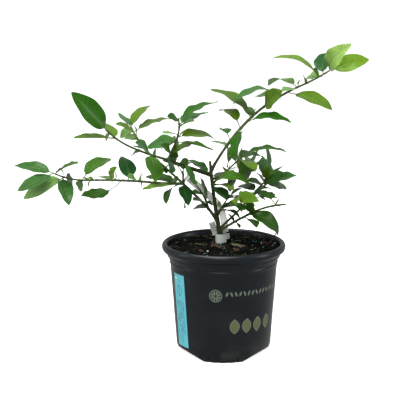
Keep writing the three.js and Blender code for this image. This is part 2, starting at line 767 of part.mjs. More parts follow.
// A side view, drawn outwards from the axis and up, extruded evenly to both sides and turned in place.
function extrudeSide(points, width, angle) {
  const side = new THREE.Shape(points.map((p) => new THREE.Vector2(...p)));
  const geometry = new THREE.ExtrudeGeometry(side, { depth: width, bevelEnabled: false });
  geometry.translate(0, 0, -width / 2).rotateX(PI / 2).rotateZ(-PI / 2);
  return solidOf(turnFromFront(geometry, angle));
}

// What a notch removes: all below a flat slant that rises outwards.
function notchCutter(angle) {
  const { start, slope, below, outside, width } = NOTCH;
  const side = [[start - below / slope, -below], [outside, -below], [outside, (outside - start) * slope]];
  return extrudeSide(side, width, angle);
}

// An upright slot through the slanted floor.
function slotCutter(angle) {
  const slot = new THREE.BoxGeometry(SLOT.width, SLOT.depth, SLOT.height);
  slot.translate(0, -SLOT.radius, SLOT.height / 2 - NOTCH.below);
  return solidOf(turnFromFront(slot, angle));
}

// An upright dent in the outer side of a foot.
function dentCutter(angle) {
  const { footRadius, outside, top, shoulder, width } = DENT;
  const side = [[footRadius, -NOTCH.below], [outside, -NOTCH.below], [outside, top], shoulder];
  return extrudeSide(side, width, angle);
}

// The potting mix follows the pot's inside, a gap clear of it.
function makeSoil() {
  const edgeHeight = POT.height - SOIL.edgeDrop;
  const inner = potInline().filter(([, z]) => z <= edgeHeight);
  const side = inner.map(([r, z]) => [r - SOIL.sideGap, z + GAP]).reverse();
  const edge = [side.at(-1)[0] + SOIL.edgeFlare, edgeHeight];
  const hump = SOIL.humpShares.map((t) => [
    mix(SOIL.flatRadius, edge[0], t),
    mix(SOIL.top, edge[1], t * t),
  ]);
  const bottom = POT.floorThickness + GAP;
  const top = [...hump.reverse(), [SOIL.flatRadius, SOIL.top], [0, SOIL.top]];
  return lathe([[0, bottom], ...side, edge, ...top], POT.segments);
}

// The care label: a thin sheet bent round the wall, with a punched hole near its top.
function makeLabel() {
  const rows = [LABEL.bottom, (LABEL.bottom + LABEL.top) / 2, LABEL.top];
  const rings = Array.from({ length: LABEL.steps + 1 }, (_, i) => {
    const along = mix(-LABEL.width / 2, LABEL.width / 2, i / LABEL.steps);
    const point = (z, out) => {
      const r = wallRadius(z) + out;
      const a = -LABEL.angle * DEGREE + along / wallRadius(z);
      return vec(r * sin(a), -r * cos(a), z);
    };
    const inside = rows.map((z) => point(z, GAP));
    return [...inside, ...rows.map((z) => point(z, GAP + LABEL.thickness)).reverse()];
  });
  const { holeRadius, punchLength, holeSides } = LABEL;
  const punch = new THREE.CylinderGeometry(holeRadius, holeRadius, punchLength, holeSides);
  punch.translate(0, -wallRadius(LABEL.top), LABEL.top - LABEL.holeDrop);
  return largestBody(loft(rings).subtract(solidOf(turnFromFront(punch, -LABEL.angle))));
}

// The tag's sleeve round the trunk's foot, with its printed flap and its buckle loop.
function makeSleeve() {
  const inner = SLEEVE.radius - SLEEVE.thickness;
  const foot = TRUNK.start[2];
  const band = [[inner, foot], [SLEEVE.radius, foot], [SLEEVE.radius, SLEEVE.top], [inner, SLEEVE.top]];
  const tube = lathe([...band, band[0]], SLEEVE.segments).translate([...SLEEVE.centre, 0]);
  const flap = new THREE.BoxGeometry(...FLAP.size).rotateY(-FLAP.tilt * DEGREE).translate(...FLAP.centre);
  const hoop = new THREE.TorusGeometry(LOOP.radius, LOOP.thickness, LOOP.sides, LOOP.steps);
  hoop.scale(LOOP.squeeze, 1, 1).rotateX(PI / 2).translate(...LOOP.centre);
  return tube.add(solidOf(flap)).add(solidOf(hoop));
}

// The tag's tail: a flat strip along its curve, with its broad side turned to the viewer.
function makeTail(margin = 0) {
  const rings = Array.from({ length: TAIL.steps + 1 }, (_, i) => {
    const t = i / TAIL.steps;
    const centre = tailCurve.getPointAt(t);
    const ahead = tailCurve.getTangentAt(t);
    const across = ahead.clone().cross(vec(0, 1, 0)).normalize();
    const out = across.clone().cross(ahead).normalize();
    const a = TAIL.width / 2 + margin;
    const b = TAIL.thickness / 2 + margin;
    return [[a, b], [-a, b], [-a, -b], [a, -b]].map(([p, q]) => (
      centre.clone().addScaledVector(across, p).addScaledVector(out, q)));
  });
  return loft(rings);
}

// Every node of the plant in order. Each is cut clear of the tag's tail and of what came before it.
function makePlant() {
  const lines = growAll();
  const leaves = growLeaves(lines);
  const nodes = [{ name: 'trunk', solid: trunkSolid(lines.trunk), kind: 'bark' }];
  let before = trunkSolid(lines.trunk, GAP).add(makeTail(GAP));
  const addNode = (name, solid, thick, kind) => {
    nodes.push({ name, solid: largestBody(solid.subtract(before)), kind });
    before = before.add(thick);
  };
  for (const [name, limb] of Object.entries(LIMBS)) {
    if (name !== 'trunk') {
      addNode(name, limbSolid(lines[name], limb, BOUGH), limbSolid(lines[name], limb, BOUGH, GAP), 'bark');
    }
  }
  for (const [name, spray] of Object.entries(SPRAYS)) {
    const joined = (margin) => leaves[name].reduce(
      (solid, leaf) => solid.add(leafSolid(leaf, margin)),
      limbSolid(lines[name], spray, STEM, margin),
    );
    addNode(name, joined(0), joined(GAP), 'leaf');
  }
  return nodes;
}

// A named mesh of a solid, in its kind's colour and finish.
function meshOf({ name, solid, kind }) {
  const { vertProperties, triVerts } = solid.getMesh();
  const geometry = new THREE.BufferGeometry();
  geometry.setAttribute('position', new THREE.Float32BufferAttribute(vertProperties, 3));
  geometry.setIndex(Array.from(triVerts));
  geometry.computeVertexNormals();
  const material = new THREE.MeshStandardMaterial({ color: COLOUR[kind], ...FINISH[kind] });
  const mesh = new THREE.Mesh(geometry, material);
  mesh.name = name;
  return mesh;
}

const tree = new THREE.Group();
tree.name = 'potted_key_lime_tree';
const pieces = [
  { name: 'pot', solid: makePot(), kind: 'plastic' },
  { name: 'soil', solid: makeSoil(), kind: 'soil' },
  { name: 'care_label', solid: makeLabel(), kind: 'label' },
  { name: 'tag_sleeve', solid: makeSleeve(), kind: 'tag' },
  { name: 'tag_tail', solid: makeTail(), kind: 'tag' },
  ...makePlant(),
];
pieces.forEach((piece) => tree.add(meshOf(piece)));

export default tree;
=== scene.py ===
"""A young key lime tree in a nursery pot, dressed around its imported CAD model.

Sizes are worked out in millimetres, with +Z up and the viewer of the front view on the -Y side,
and go into Blender in metres. The limbs and leaves grow by the same seeded rule as the solids.
"""

import json
import logging
import math
from collections.abc import Callable, Sequence
from dataclasses import dataclass, field
from enum import Enum, IntEnum

import bpy
import numpy as np
from numpy.typing import NDArray
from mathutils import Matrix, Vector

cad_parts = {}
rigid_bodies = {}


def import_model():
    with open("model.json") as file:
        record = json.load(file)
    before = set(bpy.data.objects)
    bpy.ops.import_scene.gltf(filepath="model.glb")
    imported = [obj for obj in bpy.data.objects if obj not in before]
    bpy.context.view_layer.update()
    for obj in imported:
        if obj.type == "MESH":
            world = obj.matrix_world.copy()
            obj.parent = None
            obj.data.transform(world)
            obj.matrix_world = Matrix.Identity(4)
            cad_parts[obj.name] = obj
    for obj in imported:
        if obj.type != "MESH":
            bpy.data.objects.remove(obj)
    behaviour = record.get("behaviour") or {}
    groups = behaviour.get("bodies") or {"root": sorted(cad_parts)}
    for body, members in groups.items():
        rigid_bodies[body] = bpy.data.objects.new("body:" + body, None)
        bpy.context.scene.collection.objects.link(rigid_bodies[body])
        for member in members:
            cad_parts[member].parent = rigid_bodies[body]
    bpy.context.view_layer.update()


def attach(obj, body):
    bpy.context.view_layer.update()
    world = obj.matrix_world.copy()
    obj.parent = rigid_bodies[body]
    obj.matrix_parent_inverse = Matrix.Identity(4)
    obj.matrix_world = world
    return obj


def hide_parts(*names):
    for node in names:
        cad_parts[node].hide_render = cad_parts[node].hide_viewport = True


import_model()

Array = NDArray[np.float64]
Ints = NDArray[np.int64]
Pair = tuple[float, float]
Triple = tuple[float, float, float]
Series = tuple[float, ...]
Colour = Triple
Random = np.random.Generator

MM = 0.001
DEGREE = math.pi / 180
WAVE_SPAN = 8.0
WAVE_SLOPE = 0.8
GAP = 0.3
BODY = "root"
UV_NAME = "place"
SHADE_NAME = "shade"
BALL_POLE = 0.12
NEARLY_UPRIGHT = 0.05
CORNER_SHARE = 0.45
BLADE_POWERS = (0.6, 0.85)
BLADE_PEAK = 2.674
BARK_SEED = 7
RIDGE_SEED = 61
LUMP_SEED = 71

log = logging.getLogger("potted_key_lime_tree")


# Numbers and vectors


def mix(a: float | Array, b: float | Array, t: float | Array) -> float | Array:
    """Goes evenly from a to b as t goes from 0 to 1."""
    return a + (b - a) * t


def vec(x: float, y: float, z: float) -> Array:
    """A point or direction in millimetres."""
    return np.array([x, y, z], float)


def unit(v: Array) -> Array:
    """The same direction with length one, also for rows of vectors."""
    return v / np.linalg.norm(v, axis=-1, keepdims=True)


def grid(*coordinates: Array | float) -> Array:
    """Points from their coordinates, which are spread over one common shape."""
    return np.stack(np.broadcast_arrays(*coordinates), -1)


def travelled(line: Array) -> Array:
    """Distance along a line of points at each of them."""
    return np.concatenate([[0], np.cumsum(np.linalg.norm(np.diff(line, axis=0), axis=1))])


class Draw(IntEnum):
    """What a chance is drawn for. No leaf uses both a turn and a face, which share a number."""

    LENGTH = 1
    TURN = 2
    FACE = 2
    WIDTH = 3
    FOLD = 4
    ARCH = 5
    LEAN = 6
    START = 7
    SHORTENING = 8
    TONE = 9
    SHOOT_LEAN = 21
    SHOOT_LENGTH = 22
    SHOOT_TONE = 23
    SHADE = 30
    RIPPLES = 31
    RIPPLE_START = 32
    RIPPLE_HEIGHT = 33
    DROOP = 34
    TWIST = 35
    SICKLE = 36
    STEM_SHADE = 40
    SHOOT_SHADE = 41
    THORN_TURN = 42
    THORN_LENGTH = 43
    THORN_THERE = 44


CHANCE_WEIGHTS = (12.9898, 78.233, 37.719)
CHANCE_SCALE = 43758.5453


def chance(seed: float, item: float, what: float) -> float:
    """A number from 0 to 1 that depends only on its three arguments.

    It is the fraction of a large multiple of the sine of a weighted sum of them.

    Args:
        seed: which spray or surface asks.
        item: which leaf or part of it.
        what: which property of that part.

    Returns:
        The number.
    """
    seed_weight, item_weight, what_weight = CHANCE_WEIGHTS
    wave = math.sin(seed * seed_weight + item * item_weight + what * what_weight) * CHANCE_SCALE
    return wave - math.floor(wave)


def between(values: Sequence[float], share: Array | float) -> Array | float:
    """The value at a share of the way along a list of evenly spaced values."""
    return np.interp(share, np.linspace(0, 1, len(values)), values)


def swing(spread: float, seed: float, item: float, what: float) -> float:
    """A number from -spread to spread that depends on the same three arguments as a chance."""
    return 2 * spread * (chance(seed, item, what) - 0.5)


def heading(bearing: Array | float, lean: Array | float) -> Array:
    """Unit vector of a bearing in the front plane, from +X to +Z, and a lean towards +Y, in degrees."""
    b, l = np.asarray(bearing) * DEGREE, np.asarray(lean) * DEGREE
    return grid(np.cos(b) * np.cos(l), np.sin(l), np.sin(b) * np.cos(l))


def sight_at(point: Array) -> tuple[Array, Array, Array]:
    """Unit vectors at a point: to the viewer, and across and up as the viewer sees it."""
    viewer = unit(SIGHT_PLACE - point)
    across = unit(np.cross(vec(0, 0, 1), viewer))
    return viewer, across, np.cross(viewer, across)


def srgb(red: float, green: float, blue: float) -> Colour:
    """Linear colour of a screen colour whose channels go from 0 to 255."""
    c = np.array([red, green, blue]) / 255
    return tuple(np.where(c <= 0.04045, c / 12.92, ((c + 0.055) / 1.055) ** 2.4).tolist())


def scaled(colour: Colour, factor: float) -> Colour:
    """A colour made lighter or darker by a factor."""
    return tuple(min(1.0, c * factor) for c in colour)


def waves(places: Array, seed: int, longest: float, count: int = 24) -> Array:
    """Smooth uneven heights from -1 to 1 over places of two or three coordinates.

    The sum of sines in seeded directions, whose wavelengths go from the longest down to an
    eighth of it and whose heights shrink with them.

    Args:
        places: points, in rows along the last axis.
        seed: which pattern.
        longest: the longest wavelength, in the unit of the places.
        count: how many sines are added.

    Returns:
        One height for each place.
    """
    rng = np.random.default_rng(seed)
    size = places.shape[-1]
    directions = unit(rng.normal(size=(count, size)))
    lengths = longest * WAVE_SPAN ** (-np.linspace(0, 1, count))
    phases = rng.uniform(0, 2 * math.pi, count)
    heights = (lengths / longest) ** WAVE_SLOPE
    angles = places @ directions.T * (2 * math.pi / lengths) + phases
    return (np.sin(angles) * heights).sum(-1) / (0.5 * heights.sum())


# Shader maths


class Value:
    """An output socket of a shader graph, with the arithmetic of numbers on it."""

    def __init__(self, graph: "Graph", socket: bpy.types.NodeSocket) -> None:
        """Wraps a socket of a graph."""
        self.graph = graph
        self.socket = socket

    def __add__(self, other: "Value | float") -> "Value":
        """Sum."""
        return self.graph.math("ADD", self, other)

    def __sub__(self, other: "Value | float") -> "Value":
        """Difference."""
        return self.graph.math("SUBTRACT", self, other)

    def __rsub__(self, other: float) -> "Value":
        """Difference from a number."""
        return self.graph.math("SUBTRACT", other, self)

    def __mul__(self, other: "Value | float") -> "Value":
        """Product."""
        return self.graph.math("MULTIPLY", self, other)

    __radd__ = __add__
    __rmul__ = __mul__

    def size(self) -> "Value":
        """The value without its sign."""
        return self.graph.math("ABSOLUTE", self)

    def fraction(self) -> "Value":
        """What is left after the whole number below it is taken off."""
        return self.graph.math("FRACT", self)

    def step(self, start: float, end: float) -> "Value":
        """Goes from nought at start to one at end, and stays there, also where end is the lower."""
        return self.graph.map_range(self, start, end)


class Graph:
    """The node graph of a material or of the world."""

    def __init__(self, owner: bpy.types.Material | bpy.types.World) -> None:
        """Empties the owner's graph."""
        owner.use_nodes = True
        self.tree = owner.node_tree
        self.tree.nodes.clear()

    def add_shader(self) -> None:
        """Puts a Principled shader and the output in."""
        self.shader = self.node("BsdfPrincipled")
        self.node("OutputMaterial", {}, {"Surface": self.shader.outputs["BSDF"]})

    def node(self, kind: str, settings: dict | None = None, inputs: dict | None = None) -> bpy.types.Node:
        """Adds a node.

        Args:
            kind: the node's type, without the ShaderNode that all of them start with.
            settings: its properties.
            inputs: values, sockets or Values by the name or number of the input.

        Returns:
            The node.
        """
        node = self.tree.nodes.new(f"ShaderNode{kind}")
        for name, value in (settings or {}).items():
            setattr(node, name, value)
        for name, value in (inputs or {}).items():
            self.set(node.inputs[name], value)
        return node

    def set(self, socket: bpy.types.NodeSocket, value: object) -> None:
        """Links or fills an input socket."""
        if isinstance(value, Value):
            value = value.socket
        if isinstance(value, bpy.types.NodeSocket):
            self.tree.links.new(value, socket)
        elif isinstance(value, tuple) and socket.type == "RGBA":
            socket.default_value = (*value, 1.0)
        else:
            socket.default_value = value

    def out(
        self, kind: str, settings: dict | None = None, inputs: dict | None = None, name: str | int = 0
    ) -> Value:
        """Adds a node and gives one of its outputs."""
        return Value(self, self.node(kind, settings, inputs).outputs[name])

    def map_range(self, value: Value, start: float, end: float, low: float = 0.0, high: float = 1.0) -> Value:
        """Goes from low to high while the value goes from start to end, and stays there."""
        inputs = {"Value": value, "From Min": start, "From Max": end, "To Min": low, "To Max": high}
        return self.out("MapRange", {"clamp": True}, inputs)

    def math(self, operation: str, a: Value | float, b: Value | float = 0.0) -> Value:
        """Adds a Math node."""
        return self.out("Math", {"operation": operation}, {0: a, 1: b})

    def blend(self, factor: Value | float, a: Value | Colour, b: Value | Colour) -> Value:
        """Adds a colour Mix node."""
        return self.out("Mix", {"data_type": "RGBA"}, {0: factor, 6: a, 7: b}, 2)

    def object_place(self, stretch: Triple = (1.0, 1.0, 1.0)) -> Value:
        """Object coordinates, in metres, stretched along the axes."""
        place = self.out("TexCoord", name="Object")
        return self.out("Mapping", {}, {"Vector": place, "Scale": stretch})

    def vector(self, *parts: Value | float) -> Value:
        """A vector from its coordinates."""
        return self.out("CombineXYZ", {}, dict(enumerate(parts)))

    def noise(
        self, scale: float, detail: float = 3.0, place: Value | None = None, rough: float = 0.55
    ) -> Value:
        """Cloudy values from nought to one over object coordinates."""
        place = place or self.object_place()
        inputs = {"Vector": place, "Scale": scale, "Detail": detail, "Roughness": rough}
        return self.out("TexNoise", {}, inputs)

    def uv(self) -> tuple[Value, Value]:
        """The two coordinates of the piece's own map."""
        place = self.out("UVMap", {"uv_map": UV_NAME})
        parts = self.node("SeparateXYZ", {}, {0: place})
        return Value(self, parts.outputs[0]), Value(self, parts.outputs[1])

    def shade(self) -> Value:
        """The piece's own attribute that differs from part to part, from nought to one."""
        return self.out("Attribute", {"attribute_name": SHADE_NAME}, name="Fac")

    def bump(self, height: Value, strength: float, distance: float) -> None:
        """Feeds a relief, given in metres of distance, to the shader's normal."""
        inputs = {"Height": height, "Strength": strength, "Distance": distance}
        self.set(self.shader.inputs["Normal"], self.out("Bump", {}, inputs))

    def surface(self, **inputs: object) -> None:
        """Feeds the shader's sockets, whose names are written with _ for a space."""
        for name, value in inputs.items():
            self.set(self.shader.inputs[name.replace("_", " ").title().replace("Ior", "IOR")], value)


# Finishes


@dataclass(frozen=True)
class Finish:
    """A surface finish. Its name is the material's, and each kind of finish dresses the graph."""

    name: str
    colour: Colour
    roughness: float = 0.5

    def material(self) -> bpy.types.Material:
        """The finish's material, which is made when it is first asked for."""
        known = bpy.data.materials.get(self.name)
        if known:
            return known
        made = bpy.data.materials.new(self.name)
        made.diffuse_color = (*self.colour, 1.0)
        graph = Graph(made)
        graph.add_shader()
        self.dress(graph)
        return made

    def mottled(self, graph: Graph, factor: Value, dark: float, light: float) -> Value:
        """The finish's colour, made darker where the factor is nought and lighter where it is one."""
        return graph.blend(factor, scaled(self.colour, dark), scaled(self.colour, light))

    def dress(self, graph: Graph) -> None:
        """Gives the surface its slight unevenness of colour, gloss and relief."""
        cloud = graph.noise(180.0)
        roughness = self.roughness + 0.12 * (cloud - 0.5)
        graph.surface(base_color=self.mottled(graph, cloud, 0.8, 1.2), roughness=roughness)
        graph.bump(graph.noise(900.0), 0.2, 0.0002)


@dataclass(frozen=True)
class MouldedPlastic(Finish):
    """Satin black moulded plastic with faint flow streaks, scuffs, and dust that settles low down."""

    dust: Colour = srgb(120, 112, 98)
    dust_height: float = 0.028
    dust_amounts: Pair = (0.05, 0.3)
    scuff: float = 0.05
    gloss: float = 0.26
    streak_scale: float = 9.0
    streak_stretch: Triple = (14.0, 14.0, 1.0)
    streak_tones: Pair = (0.86, 1.16)
    cloud_scale: float = 26.0
    cloud_edge: Pair = (0.45, 0.8)
    grit_scale: float = 1500.0
    scuff_scale: float = 60.0
    scuff_stretch: Triple = (1.0, 1.0, 9.0)
    scuff_edge: Pair = (0.66, 0.72)
    unevenness: Triple = (0.14, 0.1, 0.06)
    relief: Pair = (0.12, 0.0003)

    def dress(self, graph: Graph) -> None:
        """Streaks run up the wall, scuffs are short and pale, and dust thickens at the foot."""
        streaks = graph.noise(self.streak_scale, 4.0, graph.object_place(self.streak_stretch))
        cloud = graph.noise(self.cloud_scale, 4.0)
        grit = graph.noise(self.grit_scale, 2.0)
        scuffs = graph.noise(self.scuff_scale, 3.0, graph.object_place(self.scuff_stretch))
        scuffs = scuffs.step(*self.scuff_edge)
        low = graph.out("SeparateXYZ", {}, {0: graph.object_place()}, "Z").step(self.dust_height, 0.0)
        everywhere, at_foot = self.dust_amounts
        dusty = cloud.step(*self.cloud_edge) * (everywhere + at_foot * low) + self.scuff * scuffs
        clouded, scuffed, streaked = self.unevenness
        uneven = clouded * (cloud - 0.5) + scuffed * scuffs + streaked * (streaks - 0.5)
        graph.surface(
            base_color=graph.blend(dusty, self.mottled(graph, streaks, *self.streak_tones), self.dust),
            roughness=self.roughness + uneven,
            specular_ior_level=self.gloss,
        )
        graph.bump(grit * 0.5 + 0.5 * streaks, *self.relief)


@dataclass(frozen=True)
class Mulch(Finish):
    """Damp crumbs of composted bark: dark, uneven and matt, with a few glints of wet."""

    # pale: the colour of the crumbs' tops, painted light
    pale: Colour = srgb(10, 13, 11)
    gloss: float = 0.06
    crumb_scale: float = 420.0
    crumb_edge: Pair = (0.42, 0.75)
    lump_scale: float = 110.0
    lump_edge: Pair = (0.3, 0.7)
    lump_shares: Pair = (0.25, 0.75)
    lump_gloss: float = 0.3
    lump_relief: float = 0.6
    relief: Pair = (0.9, 0.0012)

    def dress(self, graph: Graph) -> None:
        """Crumbs are darker in the gaps, a painted shade, and paler on their tops, a painted light, at two
        scales; the colour follows the same noises as the relief.
        """
        crumbs = graph.noise(self.crumb_scale, 5.0)
        lumps = graph.noise(self.lump_scale, 3.0)
        least, rest = self.lump_shares
        # painted light and shade: the noises of the relief make the tops paler and the gaps darker
        painted_relief_light = crumbs.step(*self.crumb_edge) * (least + rest * lumps.step(*self.lump_edge))
        graph.surface(
            base_color=graph.blend(painted_relief_light, self.colour, self.pale),
            roughness=self.roughness + self.lump_gloss * (lumps - 0.5),
            specular_ior_level=self.gloss,
        )
        graph.bump(crumbs + self.lump_relief * lumps, *self.relief)


@dataclass(frozen=True)
class Fibrous(Finish):
    """Chips and fibres of bark and wood, streaked along their length."""

    gloss: float = 0.15
    grain_scale: float = 4.0
    grain_stretch: Triple = (1.5, 6.0, 40.0)
    shares: Pair = (0.6, 0.7)
    edge: Pair = (0.2, 1.1)
    tones: Pair = (0.35, 1.5)
    relief: Pair = (0.6, 0.0005)

    def dress(self, graph: Graph) -> None:
        """Streaks follow the piece's own length, and each chip has its own shade."""
        along, across = graph.uv()
        x, y, z = self.grain_stretch
        grain = graph.noise(self.grain_scale, 4.0, graph.vector(along * x, across * y, graph.shade() * z))
        light = graph.shade() * self.shares[0] + grain * self.shares[1]
        tint = self.mottled(graph, light.step(*self.edge), *self.tones)
        graph.surface(base_color=tint, roughness=self.roughness, specular_ior_level=self.gloss)
        graph.bump(grain, *self.relief)


@dataclass(frozen=True)
class Film(Finish):
    """Printed plastic film: an even colour with slight handling marks and a soft sheen."""

    mark: float = 0.08
    alpha: float = 1.0
    cloud_scale: float = 70.0
    cloud_gloss: float = 0.15
    cloud_relief: float = 0.1
    crease_scale: float = 30.0
    crease_stretch: Triple = (1.0, 1.0, 3.0)
    relief: Pair = (0.25, 0.001)

    def dress(self, graph: Graph) -> None:
        """Cloudy handling marks and faint creases."""
        cloud = graph.noise(self.cloud_scale, 4.0)
        creases = graph.noise(self.crease_scale, 2.0, graph.object_place(self.crease_stretch))
        tint = self.mottled(graph, cloud, 1 - self.mark, 1 + self.mark)
        roughness = self.roughness + self.cloud_gloss * (cloud - 0.5)
        graph.surface(base_color=tint, roughness=roughness, alpha=self.alpha)
        graph.bump(creases + self.cloud_relief * cloud, *self.relief)


@dataclass(frozen=True)
class YoungBark(Finish):
    """Smooth young bark: green under fine brown-grey stripes that run along the limb."""

    stripe: Colour = srgb(86, 84, 58)
    amount: float = 0.6
    pore: Colour = srgb(140, 138, 110)
    gloss: float = 0.14
    stripe_scale: float = 1.6
    stripe_stretch: Triple = (0.16, 9.0, 20.0)
    stripe_roughness: float = 0.65
    stripe_edge: Pair = (0.42, 0.66)
    stripe_gloss: float = 0.2
    cloud_scale: float = 50.0
    cloud_tones: Pair = (0.7, 1.25)
    pore_scale: float = 700.0
    pore_edge: Pair = (0.68, 0.74)
    pore_strength: float = 0.45
    pore_relief: float = 0.3
    relief: Pair = (0.5, 0.0004)

    def dress(self, graph: Graph) -> None:
        """Stripes and small pale pores follow the limb by its own map: along it, then round it."""
        along, around = graph.uv()
        x, y, z = self.stripe_stretch
        place = graph.vector(along * x, around * y, graph.shade() * z)
        stripes = graph.noise(self.stripe_scale, 5.0, place, self.stripe_roughness)
        cloud = graph.noise(self.cloud_scale, 3.0)
        pores = graph.noise(self.pore_scale, 1.0).step(*self.pore_edge)
        brown = (stripes.step(*self.stripe_edge) * self.amount * (0.5 + cloud)).step(0.0, 1.0)
        tint = graph.blend(brown, self.mottled(graph, cloud, *self.cloud_tones), self.stripe)
        graph.surface(
            base_color=graph.blend(self.pore_strength * pores, tint, self.pore),
            roughness=self.roughness + self.stripe_gloss * (stripes - 0.5),
            specular_ior_level=self.gloss,
        )
        graph.bump(stripes + self.pore_relief * pores, *self.relief)


@dataclass(frozen=True)
class CutWood(Finish):
    """The dried face of a pruning cut: pale wood inside a brown rim."""

    rim: Colour = srgb(62, 48, 34)
    cloud_scale: float = 600.0
    cloud_edge: Pair = (0.35, 0.7)
    relief: Pair = (0.6, 0.0004)

    def dress(self, graph: Graph) -> None:
        """Rings of brown and tan on a rough face."""
        cloud = graph.noise(self.cloud_scale, 4.0)
        tint = graph.blend(cloud.step(*self.cloud_edge), self.rim, self.colour)
        graph.surface(base_color=tint, roughness=self.roughness)
        graph.bump(cloud, *self.relief)


@dataclass(frozen=True)
class LeafFace(Finish):
    """A side of a leaf blade, with its midrib and side veins drawn on the leaf's own map."""

    vein: Colour = srgb(150, 176, 96)
    veins: float = 11.0
    vein_strength: float = 0.5
    relief: float = -1.0
    coat: float = 0.0
    coat_roughness: float = 0.14
    sheen_tint: Colour = (0.72, 1.0, 0.62)
    shine: float = 0.16
    rib_edge: Pair = (0.1, 0.02)
    rib_taper: float = 0.6
    vein_sweep: float = 0.15
    vein_edge: Pair = (0.22, 0.02)
    vein_end: Pair = (0.98, 0.7)
    vein_colour: float = 0.35
    vein_relief: float = 0.4
    cloud_scale: float = 75.0
    cloud_gloss: float = 0.22
    cloud_relief: float = 1.3
    speckle_scale: float = 1100.0
    speckle_gloss: float = 0.08
    speckle_relief: float = 0.12
    light_shares: tuple[float, float, float, float] = (0.55, 0.3, 0.1, 0.12)
    light_edge: Pair = (0.2, 0.9)
    tones: Pair = (0.66, 1.34)
    bump: Pair = (0.6, 0.0007)

    def dress(self, graph: Graph) -> None:
        """Side veins leave the midrib at even steps and sweep forward to the margin."""
        along, across = graph.uv()
        side = (across - 0.5).size() * 2.0
        rib = (side * (self.rib_taper + along)).step(*self.rib_edge)
        phase = (along - self.vein_sweep * side) * self.veins
        vein = ((phase.fraction() - 0.5).size() * 2.0).step(*self.vein_edge) * side.step(*self.vein_end)
        cloud = graph.noise(self.cloud_scale, 4.0)
        speckle = graph.noise(self.speckle_scale, 2.0)
        clouded, shaded, speckled, outward = self.light_shares
        light = clouded * cloud + shaded * graph.shade() + speckled * speckle + outward * side
        body = self.mottled(graph, light.step(*self.light_edge), *self.tones)
        drawn = (rib + self.vein_colour * vein) * self.vein_strength
        uneven = self.cloud_gloss * (cloud - 0.5) + self.speckle_gloss * (speckle - 0.5)
        graph.surface(
            base_color=graph.blend(drawn.step(0.0, 1.0), body, self.vein),
            roughness=self.roughness + uneven,
            specular_ior_level=self.shine,
            specular_tint=self.sheen_tint,
            coat_weight=self.coat,
            coat_roughness=self.coat_roughness,
        )
        drawn_relief = self.relief * (rib + self.vein_relief * vein)
        graph.bump(drawn_relief + self.cloud_relief * cloud + self.speckle_relief * speckle, *self.bump)


@dataclass(frozen=True)
class FloorPaper(Finish):
    """Plain white studio paper."""

    glow: float = 0.8
    glow_colour: Colour = (1.0, 1.0, 0.992)

    def dress(self, graph: Graph) -> None:
        """An even white that glows a little."""
        graph.surface(
            base_color=self.colour,
            roughness=self.roughness,
            emission_color=self.glow_colour,
            emission_strength=self.glow,
        )


class Tone(Enum):
    """Named leaf greens: the screen colours of the upper side and of the underside."""

    FRESH = ((92, 126, 26), (156, 190, 86))
    BRIGHT = ((32, 82, 3), (112, 156, 62))
    OLIVE = ((74, 104, 24), (142, 170, 74))
    MID = ((56, 98, 22), (116, 156, 70))
    BLUE = ((54, 98, 42), (130, 170, 102))
    DARK = ((36, 74, 14), (92, 134, 54))
    PALE = ((104, 142, 76), (152, 186, 126))
    TEAL = ((28, 70, 30), (98, 142, 82))
    # LIME is painted light: a lighter copy of the fresh green for leaves whose upper side faces the light
    LIME = ((134, 170, 82), (156, 190, 108))

    @classmethod
    def of(cls, letter: str) -> "Tone":
        """The tone whose name starts with a letter, where U stands for the blue green."""
        return cls.BLUE if letter == "U" else next(t for t in cls if t.name[0] == letter)

    def upper(self) -> LeafFace:
        """The glossy upper side."""
        vein = srgb(112, 152, 64)
        return LeafFace(
            f"leaf_{self.name.lower()}_upper", srgb(*self.value[0]), 0.3,
            vein=vein, vein_strength=0.22, relief=-1.0, coat=0.12,
        )

    def under(self) -> LeafFace:
        """The paler, matt underside, on which the veins stand out."""
        vein = srgb(178, 200, 130)
        return LeafFace(
            f"leaf_{self.name.lower()}_under", srgb(*self.value[1]), 0.6,
            vein=vein, vein_strength=0.4, relief=1.0, shine=0.08,
        )


BLACK_PLASTIC = MouldedPlastic("pot_black_plastic", srgb(17, 24, 29), 0.3)
SOIL_MULCH = Mulch("potting_mix_crumbs", srgb(3, 5, 5), 0.9)
BARK_GREEN = YoungBark("bark_green_brown", srgb(38, 50, 20), 0.62, srgb(62, 62, 42))
STEM_GREEN = YoungBark("twig_green", srgb(56, 76, 28), 0.5, srgb(78, 82, 46), 0.25)
STEM_YOUNG = YoungBark("shoot_green", srgb(82, 112, 42), 0.42, srgb(98, 108, 58), 0.12)
CUT_FACE = CutWood("pruning_cut", srgb(150, 126, 88), 0.85)
THORN = Finish("thorn_green", srgb(104, 118, 62), 0.45)
LABEL_BLUE = Film("label_turquoise_film", srgb(100, 198, 212), 0.4)
